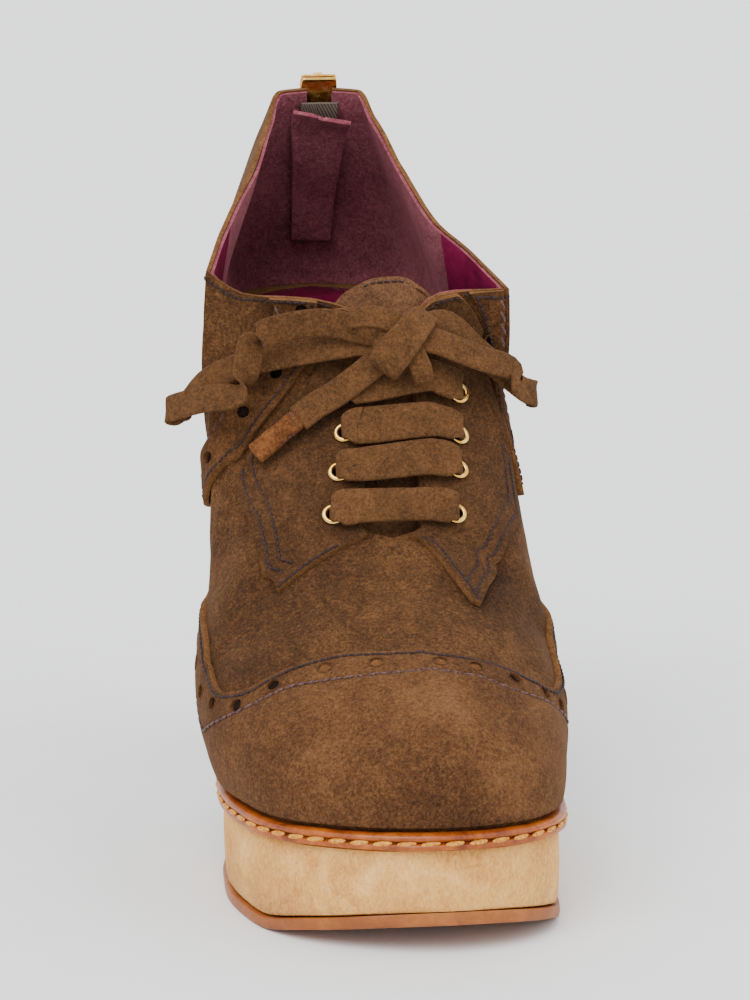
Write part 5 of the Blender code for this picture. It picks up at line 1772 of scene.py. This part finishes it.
def make_slider():
    """Two plates round the teeth and the bridge that carries the bail."""
    centre, rise, out, pin = slider_frame()
    side = Vector((1, 0, 0))
    thick = 0.0009
    total = bmesh.new()
    for depth in (0.00085, -0.00085):
        bm = bmesh.new()
        bmesh.ops.create_grid(bm, x_segments=8, y_segments=10, size=0.5)
        for vert in bm.verts:
            y = vert.co.y
            # Shoulders at the top, drawn in towards the joined teeth
            half = 0.0105 * (1.0 - 0.34 * max(0.0, -y * 2) ** 1.4 - 0.16 * max(0.0, y * 2 - 0.55))
            vert.co = Vector((vert.co.x * half, y * 0.0115, 0))
        thicken(bm, (0, 0, thick))
        rim = [e for e in bm.edges if len(e.link_faces) == 2 and e.calc_face_angle(0) > 0.9]
        bmesh.ops.bevel(bm, geom=rim, offset=0.00032, affect="EDGES", segments=3, profile=0.5, material=-1)
        turn = framed(side, rise, out, centre + out * (depth - thick / 2))
        bmesh.ops.transform(bm, matrix=turn, verts=bm.verts)
        join_bm(total, bm)
    # Wedge between the plates and the bridge over the pin
    post = [centre - rise * 0.0040 + rise * 0.0016 * i for i in range(6)]
    join_bm(total, strap(post, side, 0.0024, 0.0017, flat=0.5))
    marks = [centre + rise * 0.0052 + out * 0.0010, centre + rise * 0.0046 + out * 0.0030,
             pin + rise * 0.0018 + out * 0.0011, pin + out * 0.00165, pin - rise * 0.0020 + out * 0.0008,
             centre - rise * 0.0032 + out * 0.0010]
    join_bm(total, strap(rounded(marks, 5), side, 0.0027, 0.0009, flat=0.4))
    new_piece("slider_brass", total, ["brass"], ["zip_slider"], smooth=35)


def pull_frame():
    _, rise, out, pin = slider_frame()
    side = Vector((1, 0, 0))
    down = (-rise * 0.97 - side * 0.26).normalized()
    across = down.cross(out).normalized()
    if across.x < 0:
        across = -across
    foot = pin + down * 0.0085 + out * 0.0004
    face = down.cross(across).normalized()
    if face.dot(out) < 0:
        face = -face
    return pin, side, down, across, foot, face


def make_pull():
    """Wire bail and the folded suede tab on it; both swing on the slider's pin."""
    pin, side, down, across, foot, face = pull_frame()
    top = 0.0026
    corners = [pin - side * top, pin + side * top, foot + across * 0.0042, foot - across * 0.0042]
    ring = []
    for i, corner in enumerate(corners):
        before, after = corners[i - 1], corners[(i + 1) % 4]
        a = corner + (before - corner).normalized() * 0.0012
        b = corner + (after - corner).normalized() * 0.0012
        for k in range(6):
            t = k / 5
            ring.append(a * (1 - t) ** 2 + corner * 2 * t * (1 - t) + b * t * t)
    count = len(ring)

    def wire(u, v):
        i = int(round(v * count)) % count
        ahead = (ring[(i + 1) % count] - ring[i - 1]).normalized()
        wide = face.cross(ahead).normalized()
        angle = 2 * math.pi * u
        return ring[i] + (wide * math.cos(angle) + face * math.sin(angle)) * 0.0006
    new_piece("bail_wire", woven_shape(12, count, wire), ["brass"], ["zip_bail"], "pull", 60)

    def tab(u, v):
        angle = 2 * math.pi * u
        d = -0.0019 + 0.0294 * v
        half = 0.0030 + 0.0019 * min(max((d - 0.0030) / 0.004, 0), 1)
        thick = 0.0013 if d > 0.003 else 0.0017
        end = min(1.0, math.sqrt(max(0.0, min(v, 1 - v) * 14)))
        corner = 1 - 0.20 * max(0.0, (v - 0.93) / 0.07) ** 2
        c, s = math.cos(angle), math.sin(angle)
        x = math.copysign(abs(c) ** 0.3, c) * half * corner * (end if v < 0.5 else 1.0 if end > 0 else 0)
        z = math.copysign(abs(s) ** 0.6, s) * thick * end
        if v in (0.0, 1.0):
            x = 0
        lens = 0.0005 * math.sin(v * 5.0) * x / half
        return foot + down * d + face * (z + lens) + across * x
    bm = woven_shape(24, 40, tab)
    roughen(bm, 300, 0.00012)
    new_piece("pull_tab_suede", bm, ["facing"], ["pull_tab"], "pull", 60)
    rows_bm = bmesh.new()

    def row(places, spacing, pitch, length, radius):
        """Stitches on the tab's face, from places down it, across it and off it."""
        line = [foot + down * d + across * w + face * n for d, w, n in places]
        stitch_row(rows_bm, even(line, [face] * len(line), spacing), pitch, length, radius)

    lift = 0.00125
    for w in (-0.0038, 0.0038):
        row([(0.0065 + 0.0185 * i / 10, w, lift) for i in range(11)], 0.0006, 0.0022, 0.0018, 0.00024)
    row([(0.0255, -0.0038 + 0.0076 * i / 6, lift - 0.0001) for i in range(7)],
        0.0006, 0.0022, 0.0018, 0.00024)
    for d in (0.0052, 0.0052 + 0.0006):
        row([(d, -0.0036 + 0.0072 * i / 6, lift + 0.0001) for i in range(7)], 0.0004, 0.0012, 0.0013, 0.00028)
    new_piece("pull_stitches", rows_bm, ["light_thread"], body="pull")


def flange(turn):
    """How far the welt stands out past the feather edge."""
    rows = [(0, 0.0020), (turn_at(0.6739), 0.0020), (turn_at(0.7412), 0.0024), (1, 0.0046)]
    return smooth(rows, 1, turn)


def round_stations(count):
    line = [(-1, i / count) for i in range(count + 1)]
    return line + [(1, 1 - i / count) for i in range(1, count)]


def make_welt():
    """A rolled strip over a thin one; the stitches lie in the step between them."""
    ring = round_stations(150)
    inner = -WALL - 2 * GAP
    # Section of the welt: how far out as a share of the flange, and height as a share
    section = [(-1, 0.04), (0.55, 0.0), (0.90, 0.03), (1.0, 0.10), (1.0, 0.24), (0.95, 0.36), (0.74, 0.43),
               (0.70, 0.47), (0.86, 0.56), (0.95, 0.70), (0.93, 0.84), (0.80, 0.95), (0.55, 1.0),
               (0.10, 1.0), (-1, 1.0)]

    def place_of(u, v):
        side, turn = ring[int(round(v * len(ring))) % len(ring)]
        out, up = section[int(round(u * len(section))) % len(section)]
        grow = inner if out < 0 else flange(turn) * out + inner * (1 - out) * 0.4
        p = edge(side, turn, grow)
        return place(p.x, p.y, sole_z(p.y / LENGTH) + up * WELT_THICKNESS)
    bm = woven_shape(len(section), len(ring), place_of)
    roughen(bm, 140, 0.00014)
    new_piece("welt_leather", bm, ["welt"], ["welt"], smooth=50)
    points, ups = [], []
    for side, turn in ring + ring[:1]:
        p = edge(side, turn, flange(turn) * 0.86)
        way = heading(side, turn)
        points.append(place(p.x, p.y, sole_z(p.y / LENGTH) + 0.43 * WELT_THICKNESS))
        ups.append((Vector((way.x, -way.y, 0)) * 0.9 + Vector((0, 0, 0.45))).normalized())
    rows_bm = bmesh.new()
    stitch_row(rows_bm, (points, ups), 0.0060, 0.0050, 0.00078, 0.10)
    new_piece("welt_stitches", rows_bm, ["welt_thread"])


def sole_slab(name, low, high, grow, feet, finish, node_name, belly=0.0):
    """A closed slab under the foot: rows from its underside's middle, round its edge, to its top's middle."""
    profile = [(0.0, 0.0), (0.5, 0.0), (0.9, 0.0), (0.985, 0.02), (1.0, 0.07), (1.0, 0.2), (1.0, 0.35),
               (1.0, 0.5), (1.0, 0.65), (1.0, 0.8), (1.0, 0.93), (0.985, 0.98), (0.9, 1.0), (0.0, 1.0)]
    bm = new_bm()
    for side in (-1, 1):
        def place_of(u, v, side=side):
            foot = feet[int(round(v * (len(feet) - 1)))]
            turn = turn_at(foot)
            out, up = profile[int(round(u * (len(profile) - 1)))]
            bulge = belly * math.sin(math.pi * up) * (1 if out >= 0.98 else 0)
            rim = edge(side, turn, grow(turn) + bulge)
            middle = (edge(-1, turn, grow(turn)) + edge(1, turn, grow(turn))) / 2
            p = middle + (rim - middle) * out
            a, b = low(foot), high(foot)
            return place(p.x, p.y, a + (b - a) * up)
        join_bm(bm, woven_grid(len(profile) - 1, len(feet) - 1, place_of))
    tidy_bm(bm)
    ends = [e for e in bm.edges if e.is_boundary]
    if ends:
        bmesh.ops.holes_fill(bm, edges=ends, sides=0)
        tidy_bm(bm)
    return new_piece(name, bm, [finish], [node_name])


def feet_between(start, end, count):
    low, high = turn_at(start), turn_at(end)
    return [along_at(low + (high - low) * i / count) for i in range(count + 1)]


def make_sole():
    def inset(turn):
        return flange(turn) - 0.0023

    sole_slab("platform_crepe", lambda u: outsole_top(u) + GAP * 0.5, lambda u: sole_z(u) - GAP * 0.5, inset,
              feet_between(0.5234, FRONT, 110), "crepe", "platform", 0.0004)
    feet = feet_between(0.2624, 0.5234, 40)[:-1] + feet_between(0.5234, FRONT, 100)
    sole_slab("outsole_leather", tread_z, outsole_top, lambda turn: inset(turn) + 0.0004, feet, "outsole",
              "outsole", 0.0003)


def heel_point(share, angle, grow):
    """Place across and along on the block's section at a share of its height; without grow, its middle."""
    back = smooth(HEEL_SECTIONS, 2, share)
    front = smooth(HEEL_SECTIONS, 3, share)
    if grow is None:
        return 0.0, (back + front) / 2
    width = smooth(HEEL_SECTIONS, 1, share) * HEEL_TIP_WIDTH / 2 + grow
    c, s = math.cos(angle), math.sin(angle)
    power = 0.95 if c < 0 else 0.42
    x = width * math.copysign(abs(s) ** 0.85, s)
    along = (back + front) / 2 + ((front - back) / 2 + grow / LENGTH) * math.copysign(abs(c) ** power, c)
    return x, along


def make_heel():
    """Covered block: suede drawn tight over it, closed down the breast edges."""
    levels = [(0.0, None), (0.0, -0.0004), (0.004, 0.0)] + [(i / 60, 0.0) for i in range(1, 60)]
    levels += [(0.996, 0.0), (1.0, -0.0004), (1.0, None)]
    floor = TOP_LIFT_THICKNESS + GAP

    def block(u, v):
        share, grow = levels[int(round(v * (len(levels) - 1)))]
        x, along = heel_point(share, 2 * math.pi * u, grow)
        z = floor + share * (sole_z(along) - GAP * 0.4 - floor)
        return place(x, along * LENGTH, z)
    bm = woven_shape(88, len(levels) - 1, block)
    for vert in bm.verts:
        if 0.008 < vert.co.z < 0.125:
            vert.co += vert.normal * (noise.noise(vert.co * 45) * 0.00022)
    new_piece("heel_suede", bm, ["heel"], ["heel"], smooth=50)
    profile = [(None, 0.0), (-0.0008, 0.0), (-0.0002, 0.0003), (0.0, 0.0008), (0.0, 0.5), (0.0, 0.92),
               (-0.0002, 0.98), (-0.0006, 1.0), (None, 1.0)]

    def lift(u, v):
        grow, up = profile[int(round(v * (len(profile) - 1)))]
        x, along = heel_point(0.0, 2 * math.pi * u, grow)
        return place(x, along * LENGTH, up * TOP_LIFT_THICKNESS)
    new_piece("top_lift_rubber", woven_shape(88, len(profile) - 1, lift), ["lift"], ["top_lift"])


def make_insole():
    """Suede-bordered insole with a burgundy sock and its stitches."""
    grow = -WALL - 3.2 * GAP
    sole_slab("insole_board", lambda u: sole_z(u) + GAP, lambda u: sole_z(u) + GAP + INSOLE_THICKNESS,
              lambda turn: -WALL * 0.45, feet_between(BACK, FRONT, 100), "rim", "insole")
    feet = feet_between(0.036, 0.955, 90)

    def half_width(side, foot, share):
        """The middle, the way to the rim, its length and how far the sock's round ends draw it in."""
        turn = turn_at(foot)
        rim, other = edge(side, turn, grow), edge(-side, turn, grow)
        middle = (rim + other) / 2
        ends = min(1.0, math.sqrt(max(share * (1 - share) * 14, 0.0)))
        return middle, rim - middle, (rim - middle).length, ends

    def on_board(p, rise):
        return place(p.x, p.y, sole_z(p.y / LENGTH) + GAP + INSOLE_THICKNESS + rise)

    bm = new_bm()
    for side in (-1, 1):
        def place_of(u, v, side=side):
            middle, way, half, ends = half_width(side, feet[int(round(v * (len(feet) - 1)))], v)
            share = max(half - 0.0052, 0.0) / max(half, 1e-6) * ends
            return on_board(middle + way * share * u, 0.00055 + 0.0004 * (1 - u))
        join_bm(bm, woven_grid(12, len(feet) - 1, place_of))
    tidy_bm(bm)
    face_out(bm, place(0, 0.15, -0.3))
    sock = new_piece("sock_leather", bm, ["sock"])
    wall(sock, 0.0007, -1)
    rows_bm = bmesh.new()
    for side in (-1, 1):
        points = []
        for i in range(50):
            foot = 0.05 + 0.88 * i / 49
            middle, way, half, ends = half_width(side, foot, (foot - 0.036) / 0.919)
            points.append(on_board(middle + way * max(half - 0.0070, 0) / max(half, 1e-6) * ends, 0.00072))
        stitch_row(rows_bm, even(points, [Vector((0, 0, 1))] * 50, 0.001), 0.0036, 0.0024, 0.00026)
    new_piece("sock_stitches", rows_bm, ["band_thread"])


# Light, floor and camera
def make_camera():
    """The photograph's view, with the one shoe framed."""
    eye = Vector((-0.1433, -1.0943, 0.3099))
    aim = Vector((0.0042, -0.080, 0.0925))
    data = bpy.data.cameras.new("shoe camera")
    data.lens = 139.5
    data.sensor_width = 36.0
    data.clip_start = 0.05
    camera = bpy.data.objects.new("shoe camera", data)
    bpy.context.scene.collection.objects.link(camera)
    camera.location = eye
    camera.rotation_euler = (aim - eye).to_track_quat("-Z", "Y").to_euler()
    bpy.context.scene.camera = camera


def make_stage():
    """A pale flat floor under soft studio light."""
    bm = bmesh.new()
    bmesh.ops.create_grid(bm, x_segments=2, y_segments=2, size=6.0)
    floor = new_piece("studio_floor", bm, (), body=None, smooth=None)
    material, tree, shader, where = fresh("matt studio paper", 0.9)
    paper = patterned(tree, where, 30.0, 3.0)
    paint(tree, shader, ramp(tree, paper, [(0.3, "f3f4f4"), (0.7, "f6f7f7")]))
    floor.data.materials.append(material)
    world = bpy.data.worlds.new("studio air")
    bpy.context.scene.world = world
    world.use_nodes = True
    air = world.node_tree.nodes["Background"]
    air.inputs[0].default_value = (0.96, 0.97, 0.98, 1)
    air.inputs[1].default_value = 1.20
    soft_sun("key", 2.5, 45, (-0.45, -0.60, 1.0))
    soft_sun("fill", 0.80, 60, (0.9, -0.5, 0.8))
    soft_sun("back", 0.60, 50, (0.1, 0.9, 0.7))


def soft_sun(name, strength, spread, way):
    """An even light from far off, as wide as a large softbox; way points to the light."""
    data = bpy.data.lights.new(name, "SUN")
    data.energy = strength
    data.angle = math.radians(spread)
    light = bpy.data.objects.new(name, data)
    bpy.context.scene.collection.objects.link(light)
    light.rotation_euler = Vector(way).to_track_quat("Z", "Y").to_euler()


# The add-on: settings, one operator for each group of pieces, a panel
class LaceUpHeelSettings(bpy.types.PropertyGroup):
    nap: FloatProperty(name="Nap", description="How strongly the suede's pile shows",
                       default=1.0, min=0, max=2)
    crease: FloatProperty(name="Creases", description="Depth of the worn creases, 1 as photographed",
                          default=1.0, min=0, max=3)
    stitch_pitch: FloatProperty(name="Stitch pitch", description="Length of one fine stitch and its gap",
                                default=0.0019, min=0.001, max=0.004, unit="LENGTH")
    lace_width: FloatProperty(name="Lace width", description="Width of the flat suede lace",
                              default=LACE_WIDTH, min=0.004, max=0.014, unit="LENGTH")


class ShoeOperator:
    bl_options = {"REGISTER", "UNDO"}


class SHOE_OT_camera(ShoeOperator, bpy.types.Operator):
    """Place the camera at the photograph's view"""
    bl_idname = "shoe.camera"
    bl_label = "Camera"

    def execute(self, context):
        make_camera()
        return {"FINISHED"}


class SHOE_OT_bow(ShoeOperator, bpy.types.Operator):
    """Tie the bow with its knot and leather tip"""
    bl_idname = "shoe.bow"
    bl_label = "Bow"

    def execute(self, context):
        make_bow()
        return {"FINISHED"}


class SHOE_OT_bars(ShoeOperator, bpy.types.Operator):
    """Run the lace over the tongue through its eyelets"""
    bl_idname = "shoe.bars"
    bl_label = "Lace bars"

    def execute(self, context):
        make_bars()
        return {"FINISHED"}


class SHOE_OT_upper(ShoeOperator, bpy.types.Operator):
    """Make the suede upper and its two linings"""
    bl_idname = "shoe.upper"
    bl_label = "Upper and lining"

    def execute(self, context):
        make_upper()
        return {"FINISHED"}


class SHOE_OT_overlays(ShoeOperator, bpy.types.Operator):
    """Lay the wing toe cap, the facings and the punched bands on the upper"""
    bl_idname = "shoe.overlays"
    bl_label = "Cap, facings and bands"

    def execute(self, context):
        make_toe_cap()
        make_facings()
        make_bands()
        make_hole_rings()
        return {"FINISHED"}


class SHOE_OT_tongue(ShoeOperator, bpy.types.Operator):
    """Make the tongue under the lace"""
    bl_idname = "shoe.tongue"
    bl_label = "Tongue"

    def execute(self, context):
        make_tongue()
        return {"FINISHED"}


class SHOE_OT_seams(ShoeOperator, bpy.types.Operator):
    """Sew the rows of stitches on the upper"""
    bl_idname = "shoe.seams"
    bl_label = "Seams"

    def execute(self, context):
        make_seams()
        return {"FINISHED"}


class SHOE_OT_eyelets(ShoeOperator, bpy.types.Operator):
    """Set the eight brass eyelets"""
    bl_idname = "shoe.eyelets"
    bl_label = "Eyelets"

    def execute(self, context):
        make_eyelets()
        return {"FINISHED"}


class SHOE_OT_zip(ShoeOperator, bpy.types.Operator):
    """Make the back zip with its slider, bail and pull tab"""
    bl_idname = "shoe.zip"
    bl_label = "Zip"

    def execute(self, context):
        make_zip()
        make_slider()
        make_pull()
        return {"FINISHED"}


class SHOE_OT_sole(ShoeOperator, bpy.types.Operator):
    """Make the welt, crepe platform, outsole and insole"""
    bl_idname = "shoe.sole"
    bl_label = "Welt and soles"

    def execute(self, context):
        make_welt()
        make_sole()
        make_insole()
        return {"FINISHED"}


class SHOE_OT_heel(ShoeOperator, bpy.types.Operator):
    """Make the covered block heel and its top lift"""
    bl_idname = "shoe.heel"
    bl_label = "Heel"

    def execute(self, context):
        make_heel()
        return {"FINISHED"}


class SHOE_OT_stage(ShoeOperator, bpy.types.Operator):
    """Lay the pale floor and hang the soft lights"""
    bl_idname = "shoe.stage"
    bl_label = "Stage"

    def execute(self, context):
        make_stage()
        return {"FINISHED"}


OPERATORS = (SHOE_OT_camera, SHOE_OT_bow, SHOE_OT_bars, SHOE_OT_upper, SHOE_OT_overlays, SHOE_OT_tongue,
             SHOE_OT_seams, SHOE_OT_eyelets, SHOE_OT_zip, SHOE_OT_sole, SHOE_OT_heel, SHOE_OT_stage)


class SHOE_PT_panel(bpy.types.Panel):
    """Settings and steps of the lace up heel"""
    bl_idname = "SHOE_PT_panel"
    bl_label = "Lace up heel"
    bl_space_type = "VIEW_3D"
    bl_region_type = "UI"
    bl_category = "Shoe"

    def draw(self, context):
        look = context.scene.lace_up_heel
        for name in ("nap", "crease", "stitch_pitch", "lace_width"):
            self.layout.prop(look, name)
        for operator in OPERATORS:
            self.layout.operator(operator.bl_idname)


CLASSES = (LaceUpHeelSettings, *OPERATORS, SHOE_PT_panel)


def register():
    for cls in CLASSES:
        bpy.utils.register_class(cls)
    bpy.types.Scene.lace_up_heel = PointerProperty(type=LaceUpHeelSettings)


def unregister():
    del bpy.types.Scene.lace_up_heel
    for cls in reversed(CLASSES):
        bpy.utils.unregister_class(cls)


def main():
    register()
    for step in (bpy.ops.shoe.camera, bpy.ops.shoe.bow, bpy.ops.shoe.bars, bpy.ops.shoe.upper,
                 bpy.ops.shoe.overlays, bpy.ops.shoe.tongue, bpy.ops.shoe.seams, bpy.ops.shoe.eyelets,
                 bpy.ops.shoe.zip, bpy.ops.shoe.sole, bpy.ops.shoe.heel, bpy.ops.shoe.stage):
        step()


if __name__ == "__main__":
    main()
